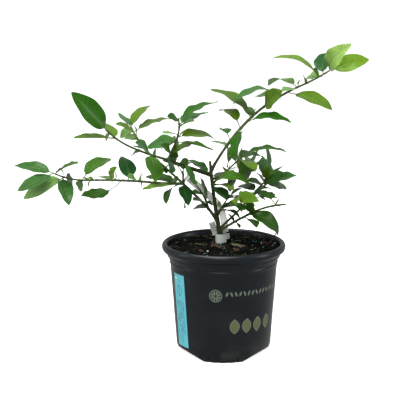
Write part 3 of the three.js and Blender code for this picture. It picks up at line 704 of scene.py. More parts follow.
# black film: the label's painted shadow, the buckle slot's painted shade and the dot of the label's hole
BLACK_FILM_AND_PAINTED_SHADE = Film("label_black_backing", srgb(14, 15, 17), 0.35)
LABEL_INK = Film("label_dark_teal_ink", srgb(62, 128, 142), 0.5)
LABEL_WHITE = Film("label_white_spot", srgb(238, 244, 244), 0.35)
TAG_WHITE = Film("tag_white_film", srgb(186, 192, 186), 0.42, 0.05)
TAG_CLEAR = Film("tag_clear_film", srgb(246, 248, 238), 0.35, 0.03, 0.62)
TAG_INK = Film("tag_grey_ink", srgb(84, 90, 88), 0.5)
CHIPS = (
    Fibrous("chip_black", srgb(2, 4, 4), 0.85), Fibrous("chip_dark_brown", srgb(9, 12, 9), 0.85),
    Fibrous("chip_red_brown", srgb(60, 46, 37), 0.8), Fibrous("chip_tan", srgb(96, 92, 70), 0.85),
)
FIBRES = (
    Fibrous("fibre_dark", srgb(38, 36, 28), 0.85), Fibrous("fibre_straw", srgb(116, 112, 88), 0.8),
    Fibrous("fibre_green", srgb(58, 82, 34), 0.7),
)
DRIED_TWIG = Fibrous("dried_twig_brown", srgb(58, 42, 32), 0.85)
PRILL = Finish("prill_teal", srgb(34, 132, 104), 0.4)
PERLITE = Finish("perlite_white", srgb(196, 198, 190), 0.9)
INK_PALE = Film("pot_pale_ink", srgb(104, 112, 98), 0.55)
INK_OLIVE = Film("pot_olive_ink", srgb(92, 100, 62), 0.55)


# Meshes


@dataclass
class Part:
    """A closed part of a piece: points in millimetres, faces of three or four, and a map."""

    points: Array
    faces: list[Ints]
    places: Array

    def outward(self) -> "Part":
        """The part with its faces turned outwards, judged by the sign of its volume."""
        total = 0.0
        for face in self.faces:
            for k in range(1, face.shape[1] - 1):
                a, b, c = (self.points[face[:, i]] for i in (0, k, k + 1))
                total += float(np.einsum("ij,ij->", a, np.cross(b, c)))
        if total < 0:
            self.faces = [face[:, ::-1] for face in self.faces]
        return self


def grid_faces(rows: int, columns: int, closed: bool, first: int = 0) -> Ints:
    """Faces of four over a grid of points that are numbered row by row.

    Args:
        rows: how many rows of points.
        columns: how many points in a row.
        closed: whether the last column joins the first.
        first: the number of the first point.

    Returns:
        One row of four numbers for each face.
    """
    r, c = np.meshgrid(np.arange(rows - 1), np.arange(columns if closed else columns - 1), indexing="ij")
    a, n = r * columns + c, r * columns + (c + 1) % columns
    return np.stack([a, n, n + columns, a + columns], -1).reshape(-1, 4) + first


def sweep(rings: Array, ends: Array | None = None) -> Part:
    """A closed tube through rings of points, with a fan of faces at each end.

    Args:
        rings: points by ring, place on the ring, and coordinate.
        ends: the point that each fan meets in, or None for the middles of the end rings.

    Returns:
        The tube, with a map of the distance along it in millimetres and the turn round it.
    """
    count, sides = rings.shape[:2]
    middles = rings.mean(1)
    points = np.concatenate([rings.reshape(-1, 3), middles[[0, -1]] if ends is None else ends])
    along = travelled(middles)
    turn = np.abs(np.linspace(-1, 1, sides, endpoint=False))
    places = np.concatenate([grid(along[:, None], turn).reshape(-1, 2), [[0, 0], [along[-1], 0]]])
    k = np.arange(sides)
    n, last, tip = (k + 1) % sides, (count - 1) * sides, count * sides
    caps = np.concatenate([grid(n, k, tip), grid(last + k, last + n, tip + 1)])
    return Part(points, [grid_faces(count, sides, True), caps], places).outward()


def shell(outer: Array, inner: Array) -> Part:
    """A thin closed sheet between two grids of points that match, with a rim round its border."""
    rows, columns = outer.shape[:2]
    size = rows * columns
    index = np.arange(size).reshape(rows, columns)
    border = np.concatenate([index[0, :-1], index[:-1, -1], index[-1, :0:-1], index[:0:-1, 0]])
    after = np.roll(border, -1)
    front = grid_faces(rows, columns, False)
    rim = np.stack([after, border, border + size, after + size], -1)
    u, v = np.meshgrid(np.linspace(0, 1, rows), np.linspace(0, 1, columns), indexing="ij")
    places = np.tile(np.stack([u, v], -1).reshape(-1, 2), (2, 1))
    points = np.concatenate([outer.reshape(-1, 3), inner.reshape(-1, 3)])
    return Part(points, [front, front[:, ::-1] + size, rim], places).outward()


def lathe(profile: Array, segments: int) -> Part:
    """A closed solid of revolution: each point of the profile, radius and height, goes round +Z.

    The first and last points of the profile lie on the axis.
    """
    angles = np.linspace(0, 2 * math.pi, segments, endpoint=False)
    radius, height = profile[1:-1, :1], profile[1:-1, 1:]
    ends = np.array([[0, 0, profile[0, 1]], [0, 0, profile[-1, 1]]])
    return sweep(grid(radius * np.sin(angles), -radius * np.cos(angles), height), ends)


def fillet(profile: Array, reach: float, steps: int = 4) -> Array:
    """Rounds each inner corner of an outline with a curve that starts and ends near the corner.

    The curve is a parabola between the two points that lie a reach away along the sides, or less
    on a short side, and it is drawn towards the corner.
    """
    rounded = [profile[:1]]
    t = np.linspace(0, 1, steps + 1)[:, None]
    for before, corner, after in zip(profile[:-2], profile[1:-1], profile[2:]):
        back, ahead = before - corner, after - corner
        a = corner + back * min(CORNER_SHARE, reach / np.linalg.norm(back))
        b = corner + ahead * min(CORNER_SHARE, reach / np.linalg.norm(ahead))
        rounded.append((1 - t) ** 2 * a + 2 * t * (1 - t) * corner + t**2 * b)
    rounded.append(profile[-1:])
    return np.concatenate(rounded)


def ball(centre: Array, radii: Array, sides: int = 6, rows: int = 4) -> Part:
    """A small round body with an own radius along each axis."""
    tilt = np.linspace(BALL_POLE, math.pi - BALL_POLE, rows)[:, None]
    turn = np.linspace(0, 2 * math.pi, sides, endpoint=False)[None]
    round_points = grid(np.sin(tilt) * np.cos(turn), np.sin(tilt) * np.sin(turn), np.cos(tilt))
    return sweep(centre + round_points * radii)


class Piece:
    """One Blender object that is put together from parts."""

    def __init__(self, name: str, slot: str, replaces: Sequence[str] = (), crease: float = 40.0) -> None:
        """Starts an empty piece.

        Args:
            name: the object's name.
            slot: a material slot of the record; it is not used.
            replaces: the CAD nodes that it stands for.
            crease: edges that turn by more than this, in degrees, are shaded as creases.
        """
        self.name = name
        self.slot = slot
        self.replaces = replaces
        self.crease = crease
        self.parts: list[Part] = []
        self.looks: list[list[Finish]] = []
        self.shades: list[float] = []

    def add(self, part: Part, *finish: Finish, shade: float = 0.5) -> None:
        """Adds a part with one finish, or with one finish for each of its groups of faces."""
        self.parts.append(part)
        self.looks.append(list(finish) * (len(part.faces) if len(finish) == 1 else 1))
        self.shades.append(shade)

    def make(self) -> bpy.types.Object:
        """Makes the mesh and its object, and puts it in the scene."""
        finishes = list(dict.fromkeys(look for looks in self.looks for look in looks))
        faces, slots, start = [], [], 0
        for part, looks in zip(self.parts, self.looks):
            for group, look in zip(part.faces, looks):
                faces.extend((group + start).tolist())
                slots.append(np.full(len(group), finishes.index(look)))
            start += len(part.points)
        mesh = bpy.data.meshes.new(self.name)
        mesh.from_pydata((np.concatenate([p.points for p in self.parts]) * MM).tolist(), [], faces)
        for finish in finishes:
            mesh.materials.append(finish.material())
        mesh.polygons.foreach_set("material_index", np.concatenate(slots).astype(np.int32))
        mesh.polygons.foreach_set("use_smooth", np.ones(len(faces), bool))
        loops = np.zeros(len(mesh.loops), np.int32)
        mesh.loops.foreach_get("vertex_index", loops)
        places = np.concatenate([p.places for p in self.parts])
        mesh.uv_layers.new(name=UV_NAME).data.foreach_set("uv", places[loops].astype(np.float32).ravel())
        shades = np.concatenate([np.full(len(p.points), s) for p, s in zip(self.parts, self.shades)])
        mesh.attributes.new(SHADE_NAME, "FLOAT", "POINT").data.foreach_set("value", shades.astype(np.float32))
        mesh.set_sharp_from_angle(angle=self.crease * DEGREE)
        mesh.update()
        made = bpy.data.objects.new(self.name, mesh)
        bpy.context.scene.collection.objects.link(made)
        return made

    def build(self) -> bpy.types.Object:
        """Makes the object, joins it to the body, and hides the nodes that it stands for."""
        made = self.make()
        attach(made, BODY)
        if self.replaces:
            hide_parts(*self.replaces)
        nodes = ", ".join(self.replaces) or "-"
        log.info("%s: %d faces, stands for %s", made.name, len(made.data.polygons), nodes)
        return made


# The growth rule


@dataclass(frozen=True)
class Limb:
    """A tapering limb, which leaves its parent at a share of the parent's length.

    The bearing is its direction in the upright plane of the front view, in degrees from +X towards
    +Z, and the lean is how far it points towards +Y. Both are lists of values that are spread
    evenly from root to tip, and so is the radius.
    """

    parent: str = ""
    at: float = 0.0
    bearing: Series = (90.0, 90.0)
    lean: Series = (0.0, 0.0)
    length: float = 100.0
    radius: Series = (1.0, 1.0)


@dataclass(frozen=True)
class Spray(Limb):
    """A limb with leaves.

    Each leaf that shows in the front view is stated as share of the stem, bearing, seen length and
    share of its face that is turned to the viewer, and then its arch and its stalk's share where
    they are unusual. Partners grow behind the first long ones, and whorl leaves go round the stem.
    Omit names those of them that are left out, so that light shows through the crown.
    """

    seed: int = 1
    leaves: tuple[Series, ...] = ()
    tones: str = ""
    partners: int = 0
    whorl: int = 0
    size: float = 1.0
    cut: bool = False
    omit: tuple[int, ...] = ()


PARTNER_INDEX = 100
WHORL_INDEX = 200
SHOOT_INDEX = 300
HIDDEN_TONES = (Tone.MID, Tone.BLUE, Tone.OLIVE, Tone.BRIGHT, Tone.MID)

TRUNK_START = vec(-2.9, 6, 148)
TRUNK_FLARE = (5.8, 9.0)
LIMB_STEPS = 24
SIGHT_PLACE = vec(-20.9, -1652.1, 553.1)

LIMBS: dict[str, Limb] = {
    "trunk": Limb("", 0, (101, 95), (0, 0), 111, (3.3, 1.6)),
    "bough_upper_right": Limb("trunk", 0.88, (61, 54), (8, 10), 38, (1.8, 1.65)),
    "bough_upper_left": Limb("trunk", 0.84, (160, 158), (-10, -15), 62, (1.7, 1.4)),
    "bough_lower_left": Limb("trunk", 0.26, (123, 137, 140), (12, 20), 69, (2.1, 1.5)),
    "bough_right": Limb("trunk", 0.155, (47, 42, 48), (8, 10), 43, (1.6, 1.3)),
}

SPRAYS: dict[str, Spray] = {
    "spray_upper_right": Spray(
        "bough_upper_right", 1, (54, 44, 30, 21, 30), (12, 20), 178, (1.6, 0.8), 11,
        ((0.01, 162, 25, 0.2, 0), (0.01, -90, 29, 0.4), (0.05, 129, 21, 0.7, 0.15, 0.33),
         (0.16, -95, 35, 0.65), (0.17, 139, 38, 0.6, 0.19, 0.22), (0.24, 0, 58, 0.35, 0.11, 0.13),
         (0.3, 147, 67, 0.4, 0.1, 0.17), (0.41, 41, 31, 0.8), (0.57, -171, 65, 0.15, 0.2),
         (0.62, -19, 64, 0.5, 0.04, 0.19), (0.71, 177, 40, 0.15, 0.17), (0.69, -171, 17, 0.3),
         (0.78, 102, 12, 0.35), (0.9, 159, 67, 0.3, 0.15, 0.1), (0.92, -175, 19, 0.7),
         (0.9, 124, 13, 0.5), (0.94, 83, 32, 0.9), (1, 53, 44, 0.85, 0.21), (1, 17, 56, 0.95)),
        # the two L leaves take the lit copy of the fresh green, painted light
        "PLUBOBOOUOPPFFPOTLF", partners=5, omit=(100, 101, 102),
    ),
    "spray_upper_left": Spray(
        "bough_upper_left", 1, (162, 154, 130), (-16, -22), 97, (1.3, 0.8), 23,
        ((0.26, 138, 24, 0.4), (0.81, 179, 53, 0.2, 0), (0.91, -124, 11, 0.6), (0.94, 131, 68, 0.85),
         (0.4, -156, 14, 0.3)),
        "UOPBD", partners=1,
    ),
    "spray_top_left": Spray(
        "bough_upper_left", 1, (64, 68, 100), (10, 4), 56, (1.2, 0.7), 37,
        ((0.15, 24, 41, 0.4), (0.26, -88, 16, 0.95), (0.47, -171, 39, 0.6), (0.46, -13, 50, 0.2),
         (0.57, -3, 52, 0.4, 0.1), (0.64, 175, 20, 0.2), (0.81, 24, 20, 0.2), (0.88, 23, 42, 0.45),
         (0.99, 24, 57, 0.4, 0.07), (0.99, 162, 15, 0.6), (0.18, 144, 16, 0.7),
         (0.06, -81, 20, 0.4, 0.04, 0.2)),
        "OMUMFPMUBDMT", partners=3, omit=(100,),
    ),
    "spray_lower_left": Spray(
        "bough_lower_left", 1, (183, 176, 180, 182, 155), (10, 4), 178, (1.4, 0.8), 41,
        ((0.07, 165, 40, 0.35), (0.04, -173, 47, 0.2, -0.02, 0.15), (0.32, 90, 12, 0.45),
         (0.35, 154, 15, 0.45), (0.42, 101, 36, 0.95), (0.47, -161, 58, 0.55, -0.14, 0.36),
         (0.56, 160, 18, 0.45), (0.56, 66, 19, 0.65), (0.77, -109, 16, 0.85), (0.68, 162, 9, 0.45),
         (0.78, 35, 50, 0.55, 0.12, 0.16), (0.93, -79, 39, 0.95), (0.91, -155, 64, 0.6),
         (0.99, 25, 34, 0.15), (1, 167, 56, 0.65), (1, -155, 54, 0.55)),
        "MFPPTDPFPFMUPMUU", partners=6, omit=(103, 104),
    ),
    "spray_mid_left": Spray(
        "bough_lower_left", 1, (142, 142, 117), (28, 24), 114, (1.3, 0.7), 53,
        ((0.35, -59, 13, 0.75), (0.56, -80, 37, 0.9, 0.04, 0.1), (0.64, 161, 18, 0.45),
         (0.79, 174, 22, 0.45), (0.96, -141, 20, 0.9), (0.8, 142, 36, 0.25, 0.07),
         (0.91, 21, 56, 0.3, 0.05, 0.16), (0.98, 130, 26, 0.45), (0.98, 49, 40, 0.5, 0.08)),
        "MMDPPOOUO", partners=3, omit=(102,),
    ),
    "spray_left_node": Spray(
        "bough_lower_left", 1, (90, 88), (-24, -34), 23, (1, 0.6), 67,
        ((0.95, 81, 19, 0.9), (0.48, 117, 17, 0.2), (0, -76, 29, 0.95), (0, -129, 35, 0.15, 0.17),
         (0, -88, 33, 0.2, 0.04, 0.6)),
        "DUTDD", whorl=1, size=0.8,
    ),
    "spray_low_right": Spray(
        "trunk", 0.14, (38, 33, 10), (-22, -30), 109, (1.4, 0.9), 71,
        ((0.26, -55, 10, 0.25), (0.38, -33, 22, 0.2, 0.05), (0.48, -34, 48, 0.75, 0.22, 0.06),
         (0.5, 83, 16, 0.95), (0.87, 135, 29, 0.7, 0.04, 0.35), (0.24, 124, 15, 0.5)),
        "DDDMDD", partners=1, size=0.9, cut=True,
    ),
    "spray_right": Spray(
        "bough_right", 1, (44, 49, 43), (12, 12), 50, (1.2, 0.7), 83,
        ((0.57, 161, 25, 0.55), (0.64, 2, 20, 0.2, 0.03), (0.82, 167, 20, 0.55),
         (0.84, -13, 32, 0.6, 0.04, 0.2), (0.95, 77, 19, 0.95), (0.95, 11, 40, 0.65, 0.03, 0.05),
         (0.95, 95, 32, 0.9), (0.06, -103, 17, 0.45)),
        "DODTOUUT", partners=2, whorl=2, size=0.85, omit=(200,),
    ),
    "spray_inner_right": Spray(
        "trunk", 0.31, (69, 44), (20, 25), 34, (1, 0.6), 97,
        ((0.34, -5, 30, 0.25, 0.17), (0.28, -19, 28, 0.2, 0.12), (0.93, 2, 16, 0.15, 0.06),
         (0.89, -11, 21, 0.15, 0.06), (0.96, 36, 20, 0.45)),
        "ODDMM", size=0.8,
    ),
    "spray_centre_right": Spray(
        "trunk", 0.72, (46, 42, 48), (0, -10), 51, (1.2, 0.7), 101,
        ((0.47, 120, 9, 0.55), (0.49, 69, 7, 0.55), (0.85, 124, 16, 0.75), (0.94, 128, 15, 0.65),
         (0.98, -62, 31, 0.95), (0.99, -37, 26, 0.4), (0.99, 5, 32, 0.25, 0.05),
         (0.99, 10, 61, 0.25, 0.11)),
        "MMUPMODB", partners=2, size=0.92, omit=(100,),
    ),
    "spray_leader": Spray(
        "trunk", 0.7, (80, 70), (-45, -50), 12, (0.9, 0.6), 107,
        ((0, -46, 25, 0.65), (0.36, 75, 19, 0.55), (0.73, -2, 48, 0.55, 0.23), (0, -10, 28, 0.15, 0.06)),
        "TTMO", size=0.85,
    ),
    "spray_front_left": Spray(
        "bough_lower_left", 0.31, (100, 114, 124), (-30, -42), 50, (1.1, 0.7), 113,
        ((0.02, -175, 22, 0.35), (0.21, 168, 18, 0.2), (0.61, 172, 13, 0.5), (0.23, -16, 10, 0.65),
         (1, 138, 13, 0.5)),
        "TMDDM", whorl=2, size=0.72,
    ),
    "spray_front_right": Spray(
        "trunk", 0.36, (52, 46), (-42, -55), 66, (1.1, 0.7), 127,
        ((0.62, -28, 21, 0.4), (0.93, -10, 27, 0.95), (0.99, 17, 21, 0.45)),
        "DOO", whorl=3, size=0.72,
    ),
    "spray_back_left": Spray(
        "trunk", 0.82, (170, 178), (42, 55), 100, (1.3, 0.8), 131,
        ((0.05, 141, 34, 0.45, 0.06), (0.15, 148, 12, 0.35)),
        "UF", whorl=9, size=0.9, omit=(204,),
    ),
    "spray_back_right": Spray(
        "trunk", 0.78, (6, -8), (42, 55), 88, (1.3, 0.8), 139,
        ((0.06, 23, 29, 0.15, 0.04),),
        "D", whorl=8, size=0.9, omit=(203,),
    ),
    "spray_back_low": Spray(
        "bough_right", 1, (34, 24), (48, 60), 84, (1.1, 0.7), 149,
        (),
        "", whorl=8, size=0.9, omit=(201, 203),
    ),
}


@dataclass(frozen=True)
class LeafRule:
    """Sizes of leaves, in millimetres and in shares of a leaf's length, and how they are opened."""

    length: Pair = (50, 62)
    seen_reach: float = 2
    seen_slack: float = 1.04
    width_share: float = 0.45
    width_spread: float = 0.05
    stalk_share: float = 0.12
    fold: Pair = (6, 16)
    arch: Pair = (0.02, 0.06)
    partner_lean: float = 60
    partner_spread: float = 12
    partner_turn: float = 8
    partner_shortest: float = 33
    partner_face: float = 0.4
    partner_back: float = 0.02
    whorl_turn: float = 137.5
    whorl_attempt_turn: float = 0.37
    whorl_opening: float = 58
    whorl_spread: float = 14
    whorl_first: float = 0.22
    whorl_up: float = 0.25
    whorl_pull: float = 0.45
    whorl_shortest: float = 0.8
    whorl_face: Pair = (0.2, 0.8)


@dataclass(frozen=True)
class ShootRule:
    """Finer twigs: their spacing and lengths, within full sprays and as spurs along open arms."""

    spacing: float = 34
    shortest_spray: float = 45
    long_twig: Pair = (12, 20)
    spur: Pair = (3, 6)
    long_leaf: Pair = (24, 36)
    spur_leaf: Pair = (8, 15)
    lean: Pair = (38, 62)
    turn: float = 40
    leaf_places: Series = (1.0, 0.72, 0.45)
    tip_opening: float = 20
    side_opening: float = 48
    lift: float = 0.2
    face: float = 0.35
    tries: int = 5
    radius: Pair = (0.62, 0.42)
    first: float = 0.55
    straightening: Pair = (0.9, 8)
    fresh_share: float = 0.3
    indices: int = 4
    retry: int = 3


@dataclass(frozen=True)
class ClearRule:
    """How far a leaf keeps from what is already there, in millimetres, and how often it is tried."""

    tries: int = 12
    easing: float = 0.18
    leaf_distance: float = 3.8
    limb_distance: float = 1.6
    own_stem: float = 0.6
    tag_share: float = 0.6
    root_share: float = 0.28
    pot_height: float = 153.0
    pot_radius: float = 88.5
    along: int = 9
    across: int = 5


@dataclass
class Leaf:
    """A leaf's place and shape: unit vectors along, out of and across it, and sizes in millimetres."""

    root: Array
    direction: Array
    length: float
    normal: Array
    side: Array
    width: float
    fold: float
    arch: float
    stalk: float
    seed: float
    index: int
    tone: Tone

    @staticmethod
    def blade_width(u: Array) -> Array:
        """Share of the full half-width along the blade: round at its foot, drawn out to a point.

        It is the product of a power of the distance from the foot and one of that to the tip.
        """
        foot, tip = BLADE_POWERS
        return BLADE_PEAK * np.power(u, foot) * np.power(1 - u, tip)

    def surface(self, along: Array, side: Array) -> Array:
        """Points of the plain leaf.

        The leaf is arched as a parabola along its length, its half-width follows the blade's
        outline, and each half rises from the midrib by the fold.

        Args:
            along: shares of the length from root to tip.
            side: places across, from -1 to 1.

        Returns:
            The points, in the shape of the two arguments together.
        """
        along, side = np.broadcast_arrays(np.asarray(along, float), np.asarray(side, float))
        u = np.maximum(0, (along - self.stalk) / (1 - self.stalk))
        half = 0.5 * self.width * self.blade_width(u)
        rise = self.arch * self.length * 4 * along * (1 - along) + np.abs(side) * half * math.sin(self.fold)
        return self.point(along, rise, side * half * math.cos(self.fold))

    def point(self, along: Array, out: Array, across: Array) -> Array:
        """Points at shares of the length, and at distances out of the leaf and across it."""
        return (
            self.root
            + self.direction * (self.length * along)[..., None]
            + self.normal * out[..., None]
            + self.side * across[..., None]
        )

    def draw(self, what: Draw) -> float:
        """The leaf's own number from 0 to 1."""
        return chance(self.seed, self.index, what)


class Growth:
    """Grows every limb and leaf of the tree by the same seeded rule as the solids."""

    def __init__(self) -> None:
        """Grows the limbs, then the leaves, then the finer twigs with their small leaves."""
        self.rule = LeafRule()
        self.finer = ShootRule()
        self.clear = ClearRule()
        self.everything: dict[str, Limb] = {**LIMBS, **SPRAYS}
        self.lines = self._grow_all()
        self.leaves: dict[str, list[Leaf]] = {name: [] for name in SPRAYS}
        self.shoots: dict[str, list[Array]] = {name: [] for name in SPRAYS}
        self._taken: list[Array] = []
        self._balls, self._reach, self._owners = self._limb_balls()
        self._grow_leaves()
        for name, spray in SPRAYS.items():
            self._grow_shoots(name, spray)

    @staticmethod
    def grow(limb: Limb, start: Array) -> Array:
        """Centreline of a limb: its heading turns while short equal steps are added up."""
        t = (np.arange(LIMB_STEPS) + 0.5) / LIMB_STEPS
        steps = heading(between(limb.bearing, t), between(limb.lean, t)) * (limb.length / LIMB_STEPS)
        return np.concatenate([start[None], start + np.cumsum(steps, 0)])

    @staticmethod
    def point_at(line: Array, share: float) -> Array:
        """The point at a share of a centreline."""
        x = min(max(share, 0), 1) * (len(line) - 1)
        i = min(int(x), len(line) - 2)
        return line[i] + (line[i + 1] - line[i]) * (x - i)

    @classmethod
    def points_along(cls, line: Array, shares: Array) -> Array:
        """The points at several shares of a centreline."""
        return np.stack([cls.point_at(line, share) for share in shares])

    @staticmethod
    def direction_at(line: Array, share: float) -> Array:
        """The direction of a centreline at a share of it."""
        i = min(int(min(max(share, 0), 1) * (len(line) - 1)), len(line) - 2)
        return unit(line[i + 1] - line[i])

    def _grow_all(self) -> dict[str, Array]:
        """Every limb's centreline. One at its parent's tip starts a gap beyond it."""
        lines: dict[str, Array] = {}
        for name, limb in self.everything.items():
            start = TRUNK_START
            if limb.parent:
                parent = lines[limb.parent]
                start = self.point_at(parent, limb.at)
                if limb.at == 1:
                    start = start + self.direction_at(parent, 1) * GAP
            lines[name] = self.grow(limb, start)
        return lines

    def _limb_balls(self) -> tuple[Array, Array, Array]:
        """Balls along every limb and along the tag's tail, which leaves keep clear of."""
        centres, radii, owners = [], [], []
        shares = np.linspace(0, 1, LIMB_STEPS * 2 + 1)
        for name, limb in self.everything.items():
            centres.append(self.points_along(self.lines[name], shares))
            radii.append(between(limb.radius, shares) + self.clear.limb_distance)
            owners += [name] * len(shares)
        tail = TagTail()
        centres.append(tail.centres(tail.clear_steps + 1)[0])
        radii.append(np.full(tail.clear_steps + 1, tail.width * self.clear.tag_share))
        owners += ["tag"] * (tail.clear_steps + 1)
        return np.concatenate(centres), np.concatenate(radii), np.array(owners)

    def make_leaf(
        self, root: Array, direction: Array, length: float, face: float, seed: float, index: int,
        arch: float | None = None, stalk: float | None = None,
    ) -> Leaf:
        """A leaf from its root, direction and length.

        Args:
            root: where it grows.
            direction: unit vector to its tip.
            length: from root to tip.
            face: the share of its upper side that is turned to the viewer; the rest is turned up.
            seed: its spray's seed.
            index: its number in the spray.
            arch: its arch, or None for one by rule.
            stalk: its stalk's share, or None for the usual one.

        Returns:
            The leaf.
        """
        rule = self.rule
        viewer = sight_at(root)[0]
        front = unit(viewer - direction * float(viewer @ direction))
        upper = unit(np.cross(front, direction))
        if upper[2] < 0:
            upper = -upper
        normal = unit(upper * math.sqrt(1 - face * face) + front * face)
        return Leaf(
            root=root, direction=direction, length=length, normal=normal,
            side=unit(np.cross(direction, normal)),
            width=length * (rule.width_share + rule.width_spread * (chance(seed, index, Draw.WIDTH) - 0.5)),
            fold=mix(*rule.fold, chance(seed, index, Draw.FOLD)) * DEGREE,
            arch=mix(*rule.arch, chance(seed, index, Draw.ARCH)) if arch is None else arch,
            stalk=rule.stalk_share if stalk is None else stalk,
            seed=seed, index=index, tone=Tone.MID,
        )

    def usual_length(self, spray: Spray, index: int) -> float:
        """A leaf's natural length for its spray."""
        return spray.size * mix(*self.rule.length, chance(spray.seed, index, Draw.LENGTH))

    def seen_leaf(self, name: str, stated: Series, index: int, attempt: int) -> Leaf:
        """A seen leaf gets a natural length, and leans so that it looks as long as it is seen."""
        spray, rule = SPRAYS[name], self.rule
        at, bearing, seen, face, *rest = stated
        arch, stalk = (*rest, None, None)[:2]
        length = max(seen * rule.seen_slack, min(self.usual_length(spray, index), seen * rule.seen_reach))
        sign = -1 if (index + attempt) % 2 else 1
        ease = 1 - self.clear.easing * (attempt // 2)
        depth = sign * math.sqrt(length * length - seen * seen) * ease
        root = self.point_at(self.lines[name], at)
        viewer, across, up = sight_at(root)
        reach = across * (seen * math.cos(bearing * DEGREE)) + up * (seen * math.sin(bearing * DEGREE))
        reach = reach - viewer * depth
        full = float(np.linalg.norm(reach))
        return self.make_leaf(root, reach / full, full, face, spray.seed, index, arch, stalk)

    def partner_leaf(self, name: str, stated: Series, index: int, attempt: int) -> Leaf:
        """A partner grows next to a seen leaf on the same bearing, but leans far back."""
        spray, rule, seed = SPRAYS[name], self.rule, SPRAYS[name].seed
        turn = swing(rule.partner_turn * (attempt + 1), seed, index + attempt, Draw.TURN)
        lean = rule.partner_lean + swing(rule.partner_spread, seed, index + attempt, Draw.LEAN)
        root = self.point_at(self.lines[name], stated[0] - rule.partner_back)
        direction, length = heading(stated[1] + turn, lean), self.usual_length(spray, index)
        return self.make_leaf(root, direction, length, rule.partner_face, seed, index)

    def whorl_leaf(self, name: str, item: int, index: int, attempt: int) -> Leaf:
        """Whorl leaves go round the stem by a steady turn, opened from it and lifted a little."""
        spray, rule, line = SPRAYS[name], self.rule, self.lines[name]
        seed = spray.seed
        at = mix(rule.whorl_first, 1, item / (spray.whorl - 1) if spray.whorl > 1 else 1)
        ahead = self.direction_at(line, at)
        start = 360 * chance(seed, 0, Draw.START)
        turn = rule.whorl_turn * (item + rule.whorl_attempt_turn * attempt) + start
        opening = rule.whorl_opening + swing(rule.whorl_spread, seed, index, Draw.LEAN)
        direction = opened(ahead, turn, opening)
        direction[2] += rule.whorl_up
        direction[1] += rule.whorl_pull * np.sign(ahead[1])
        shortening = mix(1, rule.whorl_shortest, chance(seed, index, Draw.SHORTENING))
        length = self.usual_length(spray, index) * shortening
        face = mix(*rule.whorl_face, chance(seed, index, Draw.FACE))
        return self.make_leaf(self.point_at(line, at), unit(direction), length, face, seed, index)

    def small_leaf(self, twig: Array, share: float, spray: Spray, index: int, item: int) -> Leaf:
        """A young leaf on a fine twig, turned round it by the steady turn of a whorl."""
        finer = self.finer
        turn = self.rule.whorl_turn * item + 360 * chance(spray.seed, index, Draw.START)
        opening = finer.tip_opening if share == 1 else finer.side_opening
        direction = opened(self.direction_at(twig, share), turn, opening)
        direction[2] += finer.lift
        sizes = finer.long_leaf if spray.whorl else finer.spur_leaf
        length = spray.size * mix(*sizes, chance(spray.seed, index, Draw.LENGTH))
        root = self.point_at(twig, share)
        return self.make_leaf(root, unit(direction), length, finer.face, spray.seed, index)

    def samples(self, leaf: Leaf) -> Array:
        """Points spread over a leaf's blade, past the part that is rooted in its stem."""
        along = np.linspace(self.clear.root_share, 1, self.clear.along)[:, None]
        return leaf.surface(along, np.linspace(-1, 1, self.clear.across)[None]).reshape(-1, 3)

    def is_clear(self, samples: Array, owner: str) -> bool:
        """Whether a leaf's points stay away from the pot, the limbs, the tag and earlier leaves."""
        rule = self.clear
        over_pot = np.hypot(samples[:, 0], samples[:, 1]) < rule.pot_radius
        if np.any(over_pot & (samples[:, 2] < rule.pot_height)):
            return False
        near = self._reach * np.where(self._owners == owner, rule.own_stem, 1.0)
        if np.any(((samples[:, None] - self._balls[None]) ** 2).sum(-1) < near**2):
            return False
        if not self._taken:
            return True
        others = np.concatenate(self._taken)
        return not np.any(((samples[:, None] - others[None]) ** 2).sum(-1) < rule.leaf_distance**2)

    def try_leaf(self, name: str, shape: Callable[[int], Leaf], tone: Tone, tries: int) -> bool:
        """Places a leaf at its first clear attempt, or leaves it out.

        Args:
            name: its spray.
            shape: makes the leaf from the number of the attempt.
            tone: its green.
            tries: how many attempts it gets.

        Returns:
            Whether it was placed.
        """
        for attempt in range(tries):
            leaf = shape(attempt)
            samples = self.samples(leaf)
            if self.is_clear(samples, name):
                leaf.tone = tone
                self.leaves[name].append(leaf)
                self._taken.append(samples)
                return True
        log.info("%s: a leaf is left out", name)
        return False

    def _grow_leaves(self) -> None:
        """Seen leaves of all sprays first, from the longest to the shortest, then the others."""
        tries = self.clear.tries
        seen = [
            (name, stated, item, spray.tones[item])
            for name, spray in SPRAYS.items() for item, stated in enumerate(spray.leaves)
        ]
        for name, stated, item, tone in sorted(seen, key=lambda row: -row[1][2]):
            self.try_leaf(name, lambda a: self.seen_leaf(name, stated, item, a), Tone.of(tone), tries)
        for name, spray in SPRAYS.items():
            long_ones = [s for s in spray.leaves if s[2] >= self.rule.partner_shortest]
            for index, stated in enumerate(long_ones[: spray.partners], PARTNER_INDEX):
                self._try_hidden(name, index, lambda a: self.partner_leaf(name, stated, index, a))
            for item in range(spray.whorl):
                index = WHORL_INDEX + item
                self._try_hidden(name, index, lambda a: self.whorl_leaf(name, item, index, a))

    def _try_hidden(self, name: str, index: int, shape: Callable[[int], Leaf]) -> None:
        """Places a leaf that grows by rule, in a green of its own, unless its spray omits it."""
        spray = SPRAYS[name]
        if index not in spray.omit:
            tone = HIDDEN_TONES[int(chance(spray.seed, index, Draw.TONE) * len(HIDDEN_TONES))]
            self.try_leaf(name, shape, tone, self.clear.tries)

